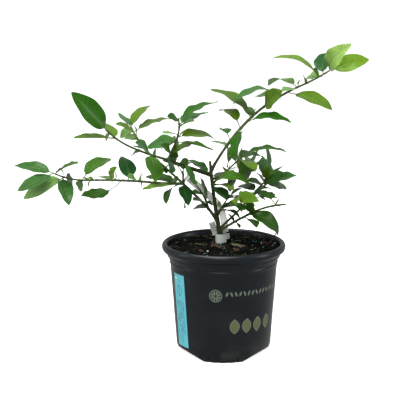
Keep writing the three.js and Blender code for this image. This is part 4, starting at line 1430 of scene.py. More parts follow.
    def _grow_shoots(self, name: str, spray: Spray) -> None:
        """Short fine twigs along a longer spray, away from the viewer, each with small leaves."""
        finer, line, seed = self.finer, self.lines[name], spray.seed
        count = int(spray.length / finer.spacing) if spray.length > finer.shortest_spray else 0
        bend, straighter = finer.straightening
        for k in range(count):
            at = (k + finer.first) / count
            ahead = self.direction_at(line, at)
            turn = finer.turn if k % 2 else -finer.turn
            bearing = math.degrees(math.atan2(ahead[2], ahead[0])) + turn
            lean = mix(*finer.lean, chance(seed, k, Draw.SHOOT_LEAN))
            sizes = finer.long_twig if spray.whorl else finer.spur
            limb = Limb(
                bearing=(bearing, 90 + bend * (bearing - 90)),
                lean=(lean, lean - straighter),
                length=mix(*sizes, chance(seed, k, Draw.SHOOT_LENGTH)),
            )
            twig = self.grow(limb, self.point_at(line, at))
            is_fresh = chance(seed, k, Draw.SHOOT_TONE) > 1 - finer.fresh_share
            placed = False
            for j, share in enumerate(finer.leaf_places):
                index = SHOOT_INDEX + finer.indices * k + j
                tone = Tone.FRESH if j == 0 and is_fresh else Tone.MID
                shape = lambda a: self.small_leaf(twig, share, spray, index, j + finer.retry * a)
                placed |= self.try_leaf(name, shape, tone, finer.tries)
            if placed:
                self.shoots[name].append(twig)


def frame_of(direction: Array) -> tuple[Array, Array]:
    """Two unit vectors square to a direction: the first lies level, the second points mostly up."""
    level = np.cross(direction, vec(0, 0, 1))
    if np.linalg.norm(level) < NEARLY_UPRIGHT:
        level = vec(1, 0, 0) - direction * direction[0]
    level = unit(level)
    return level, unit(np.cross(level, direction))


def opened(ahead: Array, turn: float, opening: float) -> Array:
    """A direction that is opened from another by an angle, on the side that a turn round it gives."""
    level, upper = frame_of(ahead)
    c, s = math.cos(turn * DEGREE), math.sin(turn * DEGREE)
    return ahead * math.cos(opening * DEGREE) + (level * c + upper * s) * math.sin(opening * DEGREE)


# Foliage, twigs and limbs


@dataclass
class Foliage:
    """The leaf blades of every spray, one piece for each."""

    growth: Growth
    stalk_stations: Series = (0.0, 0.5, 0.92)
    blade_stations: int = 21
    small_stations: int = 10
    blade_reach: Pair = (0.012, 0.994)
    end_bunching: float = 0.6
    sides: int = 12
    small_sides: int = 8
    small_length: float = 26.0
    thickness: float = 0.42
    tip_share: float = 0.2
    tip_thickness: float = 0.25
    tip_half: float = 0.1
    midrib_height: float = 1.1
    midrib_width: float = 0.2
    stalk_thickness: float = 1.15
    stalk_fade: float = 0.03
    stalk_half: Pair = (0.5, 0.85)
    fold_share: float = 0.12
    ripple: Pair = (0.012, 0.045)
    ripple_waves: Pair = (1.6, 3.2)
    ripple_offset: float = 0.23
    ripple_share: float = 0.25
    twist: float = 22.0
    twist_start: float = 0.15
    sickle: float = 0.035
    droop: float = 0.045
    crease: float = 75.0

    def build(self) -> None:
        """Makes a piece of each spray's leaves."""
        for name, leaves in self.growth.leaves.items():
            piece = Piece(name.replace("spray", "leaves"), "foliage", [name], crease=self.crease)
            for leaf in leaves:
                looks = (leaf.tone.upper(), leaf.tone.under(), STEM_YOUNG, STEM_YOUNG)
                piece.add(self.blade(leaf), *looks, shade=leaf.draw(Draw.SHADE))
            piece.build()

    def blade(self, leaf: Leaf) -> Part:
        """One leaf as a closed flat tube.

        A point lies where the plain leaf has it, moved by a ripple of the margin, which is a sine
        along the leaf that grows with the square of the place across, by a twist about the leaf's
        length, by a sickle bend to the side and by a droop that grows with the cube of the length.
        The upper and lower sides are half a thickness apart, which is nought at the margin.

        Args:
            leaf: its place and shape.

        Returns:
            The part, with its faces grouped as upper side, underside, stalk and ends.
        """
        stalk = np.array(self.stalk_stations) * leaf.stalk
        small = leaf.length < self.small_length
        sides = self.small_sides if small else self.sides
        t = np.linspace(0, 1, self.small_stations if small else self.blade_stations)
        u = mix(*self.blade_reach, mix(t, 0.5 - 0.5 * np.cos(math.pi * t), self.end_bunching))
        along = np.concatenate([stalk, mix(leaf.stalk, 1, u)])[:, None]
        blade = np.concatenate([stalk * 0, u])[:, None]
        turn = np.arange(sides)[None] * (2 * math.pi / sides)
        side, lift = np.cos(turn), np.sin(turn)
        on_stalk = np.concatenate([np.ones_like(stalk), np.zeros_like(u)])[:, None]
        stem_half = mix(*self.stalk_half, np.clip(along / leaf.stalk, 0, 1))
        least_half = np.where(blade < 0.5, stem_half, self.tip_half)
        half = np.maximum(0.5 * leaf.width * leaf.blade_width(blade), least_half)
        midrib = 1 + self.midrib_height * np.exp(-((side / self.midrib_width) ** 2)) * (lift < 0)
        stalkness = np.maximum(on_stalk, np.exp(-blade / self.stalk_fade))
        thick = mix(self.thickness * midrib, self.stalk_thickness, stalkness)
        thick = thick * np.clip((1 - blade) / self.tip_share, self.tip_thickness, 1)
        fold = leaf.fold * np.clip(blade / self.fold_share, 0, 1)
        count = mix(*self.ripple_waves, leaf.draw(Draw.RIPPLES))
        wave = 2 * math.pi * (count * blade + leaf.draw(Draw.RIPPLE_START) + self.ripple_offset * (side > 0))
        height = mix(*self.ripple, leaf.draw(Draw.RIPPLE_HEIGHT)) * leaf.width
        ripple = height * side**2 * np.sin(wave) * np.clip(blade / self.ripple_share, 0, 1)
        droop = -self.droop * leaf.draw(Draw.DROOP) * leaf.length * blade**3
        full_twist = self.twist * DEGREE * 2 * (leaf.draw(Draw.TWIST) - 0.5)
        twist = full_twist * (blade - self.twist_start).clip(0)
        bend = self.sickle * 2 * (leaf.draw(Draw.SICKLE) - 0.5)
        sickle = bend * leaf.length * 4 * along * (1 - along)
        out = np.abs(side) * half * np.sin(fold) + ripple + 0.5 * thick * lift
        across = side * half * np.cos(fold)
        arch = leaf.arch * leaf.length * 4 * along * (1 - along) + droop
        points = leaf.point(
            along,
            arch + out * np.cos(twist) + across * np.sin(twist),
            across * np.cos(twist) - out * np.sin(twist) + sickle,
        )
        part = sweep(points)
        quads, caps = part.faces
        station, place = np.divmod(np.arange(len(quads)), sides)
        is_stalk = station < len(stalk) - 1
        is_upper = (place < sides // 2) & ~is_stalk
        places = grid(along, (side + 1) / 2).reshape(-1, 2)
        part.places = np.concatenate([places, [[0, 0.5], [1, 0.5]]])
        part.faces = [quads[is_upper], quads[~is_upper & ~is_stalk], quads[is_stalk], caps]
        return part


@dataclass
class Twigs:
    """The green stems of every spray, with their nodes, thorns, buds and finer shoots."""

    growth: Growth
    sides: int = 10
    fine_sides: int = 6
    step: float = 2.2
    girth: float = 1.4
    root_overlap: float = 1.5
    root_swell: float = 0.35
    root_reach: float = 3.0
    node_swell: float = 0.3
    node_reach: float = 1.6
    unevenness: float = 0.05
    unevenness_turn: float = 0.9
    tip_share: float = 0.45
    flat: float = 0.08
    thorn: Pair = (3.2, 5.2)
    thorn_sides: int = 5
    thorn_radius: float = 0.5
    thorn_taper: Series = (1, 0.62, 0.08)
    thorn_share: float = 0.65
    thorn_lean: float = 0.7
    thorn_sunk: float = 0.3
    thorn_bulge: float = 0.4
    small_thorn: float = 0.6
    small_spray: float = 0.9
    bud: float = 0.85
    bud_shape: Triple = (0.8, 0.8, 1.0)
    bud_gap: float = 0.25
    bud_lean: float = 0.9

    def build(self) -> None:
        """Makes a piece of each spray's stems."""
        for name, spray in SPRAYS.items():
            piece = Piece(name.replace("spray", "twigs"), "foliage", [name], crease=50.0)
            line = self.growth.lines[name]
            nodes = sorted({round(leaf_at, 3) for leaf_at in self.leaf_shares(name)})
            tip = CUT_FACE if spray.cut else STEM_GREEN
            shade = chance(spray.seed, 0, Draw.STEM_SHADE)
            piece.add(self.stem(line, spray, nodes), STEM_GREEN, tip, shade=shade)
            for k, shoot in enumerate(self.growth.shoots[name]):
                piece.add(self.fine(shoot), STEM_YOUNG, shade=chance(spray.seed, k, Draw.SHOOT_SHADE))
            for k, at in enumerate(nodes):
                self.add_thorn(piece, line, spray, at, k)
            piece.build()

    def leaf_shares(self, name: str) -> list[float]:
        """Where the leaves of a spray grow on its stem, as shares of it."""
        line = self.growth.lines[name]
        shares = []
        for leaf in self.growth.leaves[name]:
            gaps = np.linalg.norm(line - leaf.root, axis=1)
            if gaps.min() < SPRAYS[name].length / LIMB_STEPS:
                shares.append(float(np.argmin(gaps)) / LIMB_STEPS)
        return shares

    def stem(self, line: Array, spray: Spray, nodes: Sequence[float]) -> Part:
        """A tapering stem that swells at its nodes and is rooted a little inside its parent.

        The radius goes evenly from root to tip, plus a bell-shaped swelling at each node and a
        collar at the root that fades over a few millimetres.
        """
        count = max(6, int(spray.length / self.step))
        t = np.linspace(0, 1, count + 1)
        centres = self.growth.points_along(line, t)
        centres[0] -= self.growth.direction_at(line, 0) * self.root_overlap
        radius = self.girth * between(spray.radius, t)
        radius += self.root_swell * np.exp(-t * spray.length / self.root_reach)
        for node in nodes:
            radius += self.node_swell * np.exp(-(((t - node) * spray.length / self.node_reach) ** 2))
        radius *= 1 + self.unevenness * np.sin(t * spray.length * self.unevenness_turn + spray.seed)
        if not spray.cut:
            radius[-1] *= self.tip_share
        return tube(centres, radius, self.sides, flat=self.flat)

    def fine(self, shoot: Array) -> Part:
        """A fine side twig, through every third point of its centreline."""
        line = shoot[::3]
        radius = mix(*self.growth.finer.radius, np.linspace(0, 1, len(line)))
        return tube(line, radius, self.fine_sides)

    def add_thorn(self, piece: Piece, line: Array, spray: Spray, at: float, item: int) -> None:
        """Adds the short thorn and the bud that stand in a leaf's axil."""
        seed = spray.seed
        start, ahead = self.growth.point_at(line, at), self.growth.direction_at(line, at)
        level, upper = frame_of(ahead)
        turn = 2 * math.pi * chance(seed, item, Draw.THORN_TURN)
        out = unit(level * math.cos(turn) + upper * math.sin(turn) + self.thorn_lean * ahead)
        radius = between(spray.radius, at)
        if chance(seed, item, Draw.THORN_THERE) > 1 - self.thorn_share:
            length = mix(*self.thorn, chance(seed, item, Draw.THORN_LENGTH))
            length *= self.small_thorn if spray.size < self.small_spray else 1
            steps = vec(self.thorn_sunk * radius, radius + self.thorn_bulge * length, radius + length)
            centres = start + out * steps[:, None]
            piece.add(tube(centres, self.thorn_radius * np.array(self.thorn_taper), self.thorn_sides), THORN)
        other = unit(-level * math.cos(turn) - upper * math.sin(turn) + self.bud_lean * ahead)
        place = start + other * (radius + self.bud_gap)
        piece.add(ball(place, self.bud * np.array(self.bud_shape)), STEM_YOUNG)


def tube(
    centres: Array, radius: Array, sides: int, flat: float = 0.0,
    relief: Callable[[Array, Array], Array] | None = None,
) -> Part:
    """A closed tube round a centreline.

    Each ring is square to the centreline, a circle of the given radius, flattened a little, plus
    a relief that depends on the distance along and the angle round.

    Args:
        centres: points of the centreline.
        radius: one radius for each.
        sides: points on each ring.
        flat: how much less high than wide a ring is, as a share.
        relief: extra radius from distance along and angle, or None.

    Returns:
        The tube.
    """
    ahead = unit(np.gradient(centres, axis=0))
    level = np.cross(ahead, vec(0, 0, 1))
    weak = np.linalg.norm(level, axis=1) < NEARLY_UPRIGHT
    level[weak] = vec(1, 0, 0)
    level = unit(level)
    upper = unit(np.cross(level, ahead))
    angle = np.linspace(0, 2 * math.pi, sides, endpoint=False)
    size = np.repeat(radius[:, None], sides, 1)
    if relief:
        size = size + relief(travelled(centres)[:, None], angle[None])
    rings = (
        centres[:, None]
        + level[:, None] * (size * np.cos(angle))[..., None]
        + upper[:, None] * (size * np.sin(angle) * (1 - flat))[..., None]
    )
    return sweep(rings)


@dataclass
class WoodyLimbs:
    """The trunk and the four main boughs, with the relief of their bark and collars at the forks."""

    growth: Growth
    step: float = 1.0
    sides: int = 20
    relief: float = 0.11
    ridge_length: float = 14.0
    ridge_spread: float = 1.3
    ridge_wave: float = 1.6
    lump_wave: float = 1.4
    lump_shortness: float = 6.0
    lump_share: float = 0.7
    collar: float = 1.15
    collar_start: float = 2.0
    collar_reach: float = 4.5
    fork_swell: float = 0.22
    fork_reach: float = 3.2
    tip_share: float = 0.8

    def build(self) -> None:
        """Makes the trunk and each bough, all with their bark."""
        piece = Piece("bark_trunk_and_boughs", "bark", list(LIMBS), crease=55.0)
        for item, (name, limb) in enumerate(LIMBS.items()):
            t = np.linspace(0, 1, int(limb.length / self.step) + 1)
            centres = self.growth.points_along(self.growth.lines[name], t)
            radius = between(limb.radius, t)
            far = t * limb.length
            tip = BARK_GREEN
            if name == "trunk":
                flare, fade = TRUNK_FLARE
                radius = radius + (flare - limb.radius[0]) * np.exp(-far / (fade / 2))
                radius = radius + self.fork_swelling(t, limb)
                centres[0, 2] = TRUNK_START[2]
                radius[-1] *= self.tip_share
                tip = CUT_FACE
            else:
                past = np.maximum(far - self.collar_start, 0)
                radius = radius + self.collar * np.exp(-past / self.collar_reach)
            part = tube(centres, radius, self.sides, relief=lambda s, a: self.bark(s, a, item))
            piece.add(part, BARK_GREEN, tip, shade=chance(BARK_SEED, item, 1))
        piece.build()

    def fork_swelling(self, t: Array, limb: Limb) -> Array:
        """The trunk is a little thicker where something leaves it."""
        total = np.zeros_like(t)
        for other in [*LIMBS.values(), *SPRAYS.values()]:
            if other.parent == "trunk":
                total += self.fork_swell * np.exp(-(((t - other.at) * limb.length / self.fork_reach) ** 2))
        return total

    def bark(self, along: Array, angle: Array, seed: int) -> Array:
        """Relief of the bark: long ridges that wander round the limb, and short lumps."""
        wide = self.ridge_spread
        places = grid(along / self.ridge_length, wide * np.cos(angle), wide * np.sin(angle))
        ridges = waves(places, RIDGE_SEED + seed, self.ridge_wave)
        lumps = waves(places * vec(self.lump_shortness, 1, 1), LUMP_SEED + seed, self.lump_wave)
        return self.relief * (ridges + self.lump_share * lumps)


# Pot, print, soil


@dataclass
class NurseryPot:
    """The moulded pot, by the solids' outline: three feet, wall, collar with two rings, rolled lip."""

    height: float = 150
    rim_radius: float = 82.5
    collar_radius: float = 72.8
    collar_bottom: float = 124
    wall_radius: Pair = (63.2, 71.3)
    wall_break: float = 60
    foot_height: float = 12
    inner_break: float = 122
    chamfer: Pair = (60.5, 4)
    foot_radius: float = 58.3
    floor_radius: float = 36
    thickness: float = 1.6
    floor: float = 2.4
    corner_reach: float = 0.9
    crease: float = 32.0
    lip_outer: tuple[Pair, ...] = ((3.5, 11), (0.9, 9), (0, 5), (0.7, 1.8), (3, 0))
    lip_inner: tuple[Pair, ...] = ((5.4, 0.3), (7.2, 2), (9, 11))
    collar_outer: tuple[Pair, ...] = (
        (-1.5, -2), (-0.2, 1), (-1, 3), (0, 5), (0.6, 7.5), (2.4, 8.5), (3, 12.5),
    )
    collar_inner: Pair = (-2.6, 8)
    segments: int = 180
    feet: int = 3
    notch_angle: float = 59
    notch_start: float = 48
    notch_slope: float = 0.8
    notch_below: float = 1
    notch_outside: float = 72
    notch_width: float = 120
    slot_radius: float = 51
    slot_size: Triple = (22, 6, 24)
    dents: int = 6
    dent_pitch: float = 11.6
    dent_width: float = 4.4
    dent_side: tuple[Pair, ...] = (
        (56.4, -1), (66.5, -1), (66.5, 9.6), (59.9, 7.5),
    )

    def wall(self, z: Array | float) -> Array | float:
        """Radius of the outer wall at a height."""
        t = np.clip((np.asarray(z) - self.foot_height) / (self.collar_bottom - self.foot_height), 0, 1)
        return mix(*self.wall_radius, t)

    def _lip(self, points: Sequence[Pair]) -> list[Pair]:
        """Points of the lip, which are stated in from the rim and down from the top."""
        return [(self.rim_radius - inwards, self.height - down) for inwards, down in points]

    def _collar(self, points: Sequence[Pair]) -> list[Pair]:
        """Points of the collar, which are stated out from its radius and up from its lower edge."""
        return [(self.collar_radius + out, self.collar_bottom + up) for out, up in points]

    def outline(self) -> Array:
        """Outer outline from the edge of the underside to the top of the lip."""
        return np.array([
            (self.foot_radius, 0), self.chamfer, (self.wall_radius[0], self.foot_height),
            (float(self.wall(self.wall_break)), self.wall_break),
            *self._collar(self.collar_outer), *self._lip(self.lip_outer),
        ])

    def inline(self) -> Array:
        """Inner outline from the lip down the wall and the slanted rim of the floor."""
        return np.array([
            *self._lip(self.lip_inner), *self._collar([self.collar_inner]),
            (self.wall_radius[1] - self.thickness, self.inner_break),
            (self.wall_radius[0] - self.thickness, self.foot_height + self.floor),
            (self.floor_radius, self.floor),
        ])

    def build(self) -> None:
        """Makes the shell, and cuts the notches, the drain slots and the dents of the feet."""
        profile = np.concatenate([[[0, 0]], self.outline(), self.inline(), [[0, self.floor]]])
        piece = Piece("nursery_pot", "pot_plastic", ["pot"], crease=self.crease)
        piece.add(lathe(fillet(profile, self.corner_reach), self.segments), BLACK_PLASTIC)
        made = piece.build()
        notches = [self.notch_angle + 360 / self.feet * k for k in range(self.feet)]
        middles = [angle + 180 / self.feet for angle in notches]
        steps = self.dent_pitch * (np.arange(self.dents) - (self.dents - 1) / 2)
        self.subtract(made, [self.notch(angle) for angle in notches])
        self.subtract(made, [self.slot(angle) for angle in notches])
        self.subtract(made, [self.dent(middle + step) for middle in middles for step in steps])

    @staticmethod
    def extruded(side: Array, width: float, angle: float) -> Part:
        """A side view, drawn outwards from the axis and up, made wide to both sides and turned in place."""
        x = np.array([[-width / 2], [width / 2]])
        return sweep(turned(grid(x, -side[:, 0], side[:, 1]), angle))

    def notch(self, angle: float) -> Part:
        """All below a flat slant that rises outwards."""
        inner = self.notch_start - self.notch_below / self.notch_slope
        outer, top = self.notch_outside, (self.notch_outside - self.notch_start) * self.notch_slope
        side = np.array([(inner, -self.notch_below), (outer, -self.notch_below), (outer, top)])
        return self.extruded(side, self.notch_width, angle)

    def slot(self, angle: float) -> Part:
        """An upright slot through the slanted floor."""
        width, depth, height = self.slot_size
        corner = np.array([[-1, -1], [1, -1], [1, 1], [-1, 1]]) * 0.5 * [width, depth] - [0, self.slot_radius]
        z = np.array([[-self.notch_below], [height - self.notch_below]])
        return sweep(turned(grid(corner[:, 0], corner[:, 1], z), angle))

    def dent(self, angle: float) -> Part:
        """An upright dent in the outer side of a foot."""
        return self.extruded(np.array(self.dent_side), self.dent_width, angle)

    def subtract(self, made: bpy.types.Object, parts: Sequence[Part]) -> None:
        """Cuts parts out of an object."""
        cutters = Piece("cutters", "pot_plastic")
        for part in parts:
            cutters.add(part, BLACK_PLASTIC)
        tool = cutters.make()
        cut = made.modifiers.new("cut", "BOOLEAN")
        cut.operation, cut.solver, cut.object = "DIFFERENCE", "EXACT", tool
        bpy.context.view_layer.update()
        graph = bpy.context.evaluated_depsgraph_get()
        mesh = bpy.data.meshes.new_from_object(made.evaluated_get(graph), depsgraph=graph)
        made.modifiers.clear()
        made.data = mesh
        mesh.set_sharp_from_angle(angle=self.crease * DEGREE)
        bpy.data.objects.remove(tool)


def turned(points: Array, angle: float) -> Array:
    """Points turned about +Z by an angle in degrees that starts at the front and grows towards +X."""
    c, s = math.cos(angle * DEGREE), math.sin(angle * DEGREE)
    x, y = points[..., 0], points[..., 1]
    return grid(x * c - y * s, x * s + y * c, points[..., 2])


def on_wall(pot: NurseryPot, angle: float, arc: Array, height: Array, lift: float) -> Array:
    """Points on the pot's outer wall.

    Args:
        pot: the pot.
        angle: the middle of the place, in degrees from the front.
        arc: distances along the wall from there.
        height: heights.
        lift: how far the points stand out of the wall.

    Returns:
        The points.
    """
    arc, height = np.broadcast_arrays(arc, height)
    wall = pot.wall(height)
    a = angle * DEGREE + arc / wall
    return grid((wall + lift) * np.sin(a), -(wall + lift) * np.cos(a), height)


def wall_film(pot: NurseryPot, angle: float, arc: Array, height: Array, inner: float, outer: float) -> Part:
    """A film over places on the pot's wall, between two distances out of it."""
    return shell(on_wall(pot, angle, arc, height, outer), on_wall(pot, angle, arc, height, inner))


@dataclass
class WallPrint:
    """Plain ornament printed on the wall three times round.

    Each time it is a fruit slice, a row of small leaves and four broad leaves with a pale edge.
    """

    pot: NurseryPot
    groups: int = 3
    slice_angle: float = -9.3
    slice_height: float = 94.5
    slice_radius: float = 8.6
    row_angles: Pair = (3.0, 72.0)
    row_height: float = 96.8
    row_count: int = 15
    row_leaf: Pair = (2.9, 7.4)
    row_tilt: float = 22.0
    leaf_angles: Series = (12.0, 26.5, 41.0, 56.5)
    leaf_height: float = 52.0
    leaf_size: Pair = (13.6, 20.5)
    leaf_edge: Pair = (2.6, 3.4)
    leaf_roundness: float = 0.75
    leaf_steps: tuple[int, int] = (15, 5)
    rind_steps: int = 49
    wedge_steps: int = 7
    leaf_tip: float = 0.004
    rind: Pair = (0.84, 1.0)
    wedge: Pair = (0.16, 0.74)
    wedge_gap: float = 0.1
    wedges: int = 8
    film: float = 0.07
    sunk: float = 0.1

    def build(self) -> None:
        """Makes the pale and the olive print."""
        pale = Piece("pot_print_pale", "pot_plastic")
        olive = Piece("pot_print_olive", "pot_plastic")
        for k in range(self.groups):
            turn = -360 / self.groups * k
            self.add_slice(pale, turn + self.slice_angle)
            for angle in np.linspace(*self.row_angles, self.row_count):
                tilt = self.row_tilt * (1 if round(angle * 10) % 2 else -1)
                self.add_leaf(pale, turn + angle, self.row_height, self.row_leaf, tilt, 0.0)
            for angle in self.leaf_angles:
                self.add_leaf(pale, turn + angle, self.leaf_height, self.leaf_size, 0, 0.0)
                inner = tuple(size - edge for size, edge in zip(self.leaf_size, self.leaf_edge))
                self.add_leaf(olive, turn + angle, self.leaf_height, inner, 0, self.film)
        pale.build()
        olive.build()

    def sheet(self, angle: float, x: Array, z: Array, lift: float) -> Part:
        """A film of print over a grid of places round an angle."""
        return wall_film(self.pot, angle, x, z, -self.sunk + lift, self.sunk + self.film + lift)

    def add_leaf(
        self, piece: Piece, angle: float, height: float, size: Pair, tilt: float, lift: float
    ) -> None:
        """Adds a pointed leaf shape: its half-width is a power of the sine along its length.

        Args:
            piece: gets the film.
            angle: its place, in degrees from the front.
            height: its middle.
            size: its width and length.
            tilt: how far it leans, in degrees.
            lift: how far it stands above other print, which also makes it olive.
        """
        t = np.linspace(0.0, 1, self.leaf_steps[0])[:, None]
        side = np.linspace(-1, 1, self.leaf_steps[1])[None]
        inside = np.clip(t, self.leaf_tip, 1 - self.leaf_tip)
        half = 0.5 * size[0] * np.sin(math.pi * inside) ** self.leaf_roundness
        x, z = side * half, (t - 0.5) * size[1] * np.ones_like(side)
        c, s = math.cos(tilt * DEGREE), math.sin(tilt * DEGREE)
        leaf = self.sheet(angle, x * c - z * s, height + x * s + z * c, lift)
        piece.add(leaf, INK_OLIVE if lift else INK_PALE)

    def add_slice(self, piece: Piece, angle: float) -> None:
        """Adds a fruit slice: a rind ring, and wedges between the ring and the middle."""
        self.add_sector(piece, angle, self.rind, (0.0, 2 * math.pi), self.rind_steps)
        share = 2 * math.pi / self.wedges
        for k in range(self.wedges):
            turns = (share * k + self.wedge_gap, share * (k + 1) - self.wedge_gap)
            self.add_sector(piece, angle, self.wedge, turns, self.wedge_steps)

    def add_sector(self, piece: Piece, angle: float, radii: Pair, turns: Pair, count: int) -> None:
        """Adds a sector of the slice.

        Args:
            piece: gets the film.
            angle: the slice's place, in degrees from the front.
            radii: inner and outer radius, as shares of the slice's.
            turns: first and last angle round the slice, in radians.
            count: how many points lie along its edge.
        """
        r = np.linspace(*radii, 3)[:, None] * self.slice_radius
        a = np.linspace(*turns, count)[None]
        piece.add(self.sheet(angle, r * np.sin(a), self.slice_height + r * np.cos(a), 0.0), INK_PALE)


@dataclass
class PottingMix:
    """The soil that fills the pot: an uneven dark surface, and loose chips, fibres, prills and grains.

    A large chip is stated as x, y, length, width, turn and which of the kinds it is.
    """

    pot: NurseryPot
    top: float = 147.7
    flat_radius: float = 24
    edge_height: float = 142.0
    edge_radius: float = 73.0
    side_gap: float = 0.45
    middle_radius: float = 0.5
    middle_share: float = 0.0004
    rows: int = 60
    columns: int = 168
    relief: float = 1.5
    lumps: tuple[int, float] = (5, 26.0)
    calm_rim: Triple = (74, 6, 0.2)
    seed: int = 2017
    litter_margin: float = 1.5
    litter_start: float = 0.005
    chips: int = 1300
    chip_shares: Series = (0.52, 0.4, 0.05, 0.03)
    chip_heights: Pair = (-0.4, 1.3)
    chip_length: Triple = (2.2, 1.15, 1.2)
    chip_width: Pair = (0.9, 2.6)
    chip_thickness: Pair = (0.35, 1.1)
    chip_tilt: float = 0.32
    chip_roll: float = 0.4
    large_chips: tuple[tuple[float, float, float, float, float, int], ...] = (
        (-11.5, -18.0, 13.0, 9.0, -0.5, 2), (-3.0, -27.0, 10.0, 7.0, 0.35, 2),
        (17.0, -14.0, 16.0, 5.0, -0.12, 3), (26.0, -21.0, 11.0, 5.0, 0.3, 3),
        (16.0, -36.0, 10.0, 7.0, 0.7, 2), (27.0, -33.0, 9.0, 7.0, -0.6, 1),
        (66.0, -3.0, 8.0, 3.2, 1.0, 2), (62.0, -16.0, 6.5, 2.8, 0.5, 1),
        (-44.0, -10.0, 7.0, 2.6, 0.2, 1), (-30.0, -40.0, 6.5, 3.0, -0.4, 2),
        (40.0, 20.0, 8.5, 3.0, 0.9, 1), (-24.0, 34.0, 9.0, 3.4, -0.8, 2),
        (5.0, 46.0, 8.0, 3.0, 0.2, 1), (-52.0, 26.0, 7.0, 3.0, 1.2, 3),
    )
    large_lift: float = 1.2
    large_thickness: float = 1.0
    large_lean: Pair = (0.12, 0.55)
    large_shade: float = 0.85
    fibres: int = 90
    fibre_shares: Series = (0.56, 0.28, 0.16)
    fibre_length: Pair = (7, 22)
    fibre_bend: float = 1.2
    fibre_margin: float = 2.0
    fibre_lift: float = 0.9
    fibre_arch: Pair = (0.3, 1.4)
    fibre_radius: Pair = (0.16, 0.34)
    fibre_sides: int = 5
    dried_sides: int = 6
    fibre_taper: Series = (0.5, 0.9, 1, 1, 1, 0.8, 0.3)
    dried: tuple[Triple, ...] = ((54, -6, 145), (61, -5, 150), (67, -4, 158), (71.5, -5, 168))
    dried_radius: Series = (1.5, 1.1, 1.0, 0.5)
    prills: int = 11
    prill_radius: Pair = (0.9, 1.5)
    grains: int = 5
    grain_radius: Pair = (0.6, 1.5)
    grain_stretch: Pair = (0.8, 1.15)
    grain_lift: Pair = (1.0, 0.4)

    def level(self, x: Array, y: Array) -> Array:
        """Height of the surface: flat round the trunk, a parabola down to the wall, with lumps."""
        r = np.hypot(x, y)
        t = np.clip((r - self.flat_radius) / (self.edge_radius - self.flat_radius), 0, 1)
        base = mix(self.top, self.edge_height, t * t)
        end, fade, least = self.calm_rim
        return base + self.relief * waves(grid(x, y), *self.lumps) * np.clip((end - r) / fade, least, 1)

    def build(self) -> None:
        """Makes the body of the mix, then what lies on it."""
        body = Piece("potting_mix", "potting_mix", ["soil"], crease=80.0)
        body.add(self.body(), SOIL_MULCH)
        body.build()
        rng = np.random.default_rng(self.seed)
        litter = Piece("bark_chips", "potting_mix", crease=30.0)
        for finish, share in zip(CHIPS, self.chip_shares):
            self.add_chips(litter, rng, int(self.chips * share), finish)
        self.add_large_chips(litter, rng)
        litter.build()
        bits = Piece("soil_fibres_and_grains", "potting_mix", crease=50.0)
        self.add_fibres(bits, rng)
        self.add_grains(bits, rng, self.prills, self.prill_radius, PRILL)
        self.add_grains(bits, rng, self.grains, self.grain_radius, PERLITE)
        bits.build()

    def body(self) -> Part:
        """The closed body: its side follows the pot's inside, and its top is the uneven surface."""
        inner = self.pot.inline()
        side = inner[inner[:, 1] <= self.edge_height][::-1] + [-self.side_gap, GAP]
        angles = np.linspace(0, 2 * math.pi, self.columns, endpoint=False)[None]
        top_radii = self.edge_radius * np.sqrt(np.linspace(1, self.middle_share, self.rows))
        radii = np.concatenate([[self.middle_radius], side[:, 0], top_radii])[:, None]
        heights = np.concatenate([[self.pot.floor + GAP], side[:, 1], np.zeros(self.rows)])[:, None]
        x, y = radii * np.sin(angles), -radii * np.cos(angles)
        is_top = np.arange(len(radii))[:, None] > len(side)
        return sweep(grid(x, y, np.where(is_top, self.level(x, y), heights)))

    def spots(self, rng: Random, count: int) -> tuple[Array, Array]:
        """Places spread evenly over the surface."""
        r = (self.edge_radius - self.litter_margin) * np.sqrt(rng.uniform(self.litter_start, 1, count))
        a = rng.uniform(0, 2 * math.pi, count)
        return r * np.cos(a), r * np.sin(a)

    def add_chips(self, piece: Piece, rng: Random, count: int, finish: Finish) -> None:
        """Adds flat splinters of bark, each a skewed block that lies nearly flat."""
        x, y = self.spots(rng, count)
        places = grid(x, y, self.level(x, y) + rng.uniform(*self.chip_heights, count))
        shape, spread, least = self.chip_length
        lengths = rng.gamma(shape, spread, count) + least
        widths = rng.uniform(*self.chip_width, count)
        sizes = grid(lengths, widths, rng.uniform(*self.chip_thickness, count))
        turn = rng.uniform(0, 2 * math.pi, count)
        tilt = rng.normal(0, self.chip_tilt, count)
        roll = rng.normal(0, self.chip_roll, count)
        for k in range(count):
            turns = (turn[k], tilt[k], roll[k])
            piece.add(chip(places[k], sizes[k], turns, rng), finish, shade=rng.uniform())

    def add_large_chips(self, piece: Piece, rng: Random) -> None:
        """Adds the larger pieces of bark, which lie at known places."""
        for x, y, length, width, turn, kind in self.large_chips:
            place = vec(x, y, float(self.level(np.array(x), np.array(y))) + self.large_lift)
            size = vec(length, width, self.large_thickness)
            piece.add(chip(place, size, (turn, *self.large_lean), rng), CHIPS[kind], shade=self.large_shade)

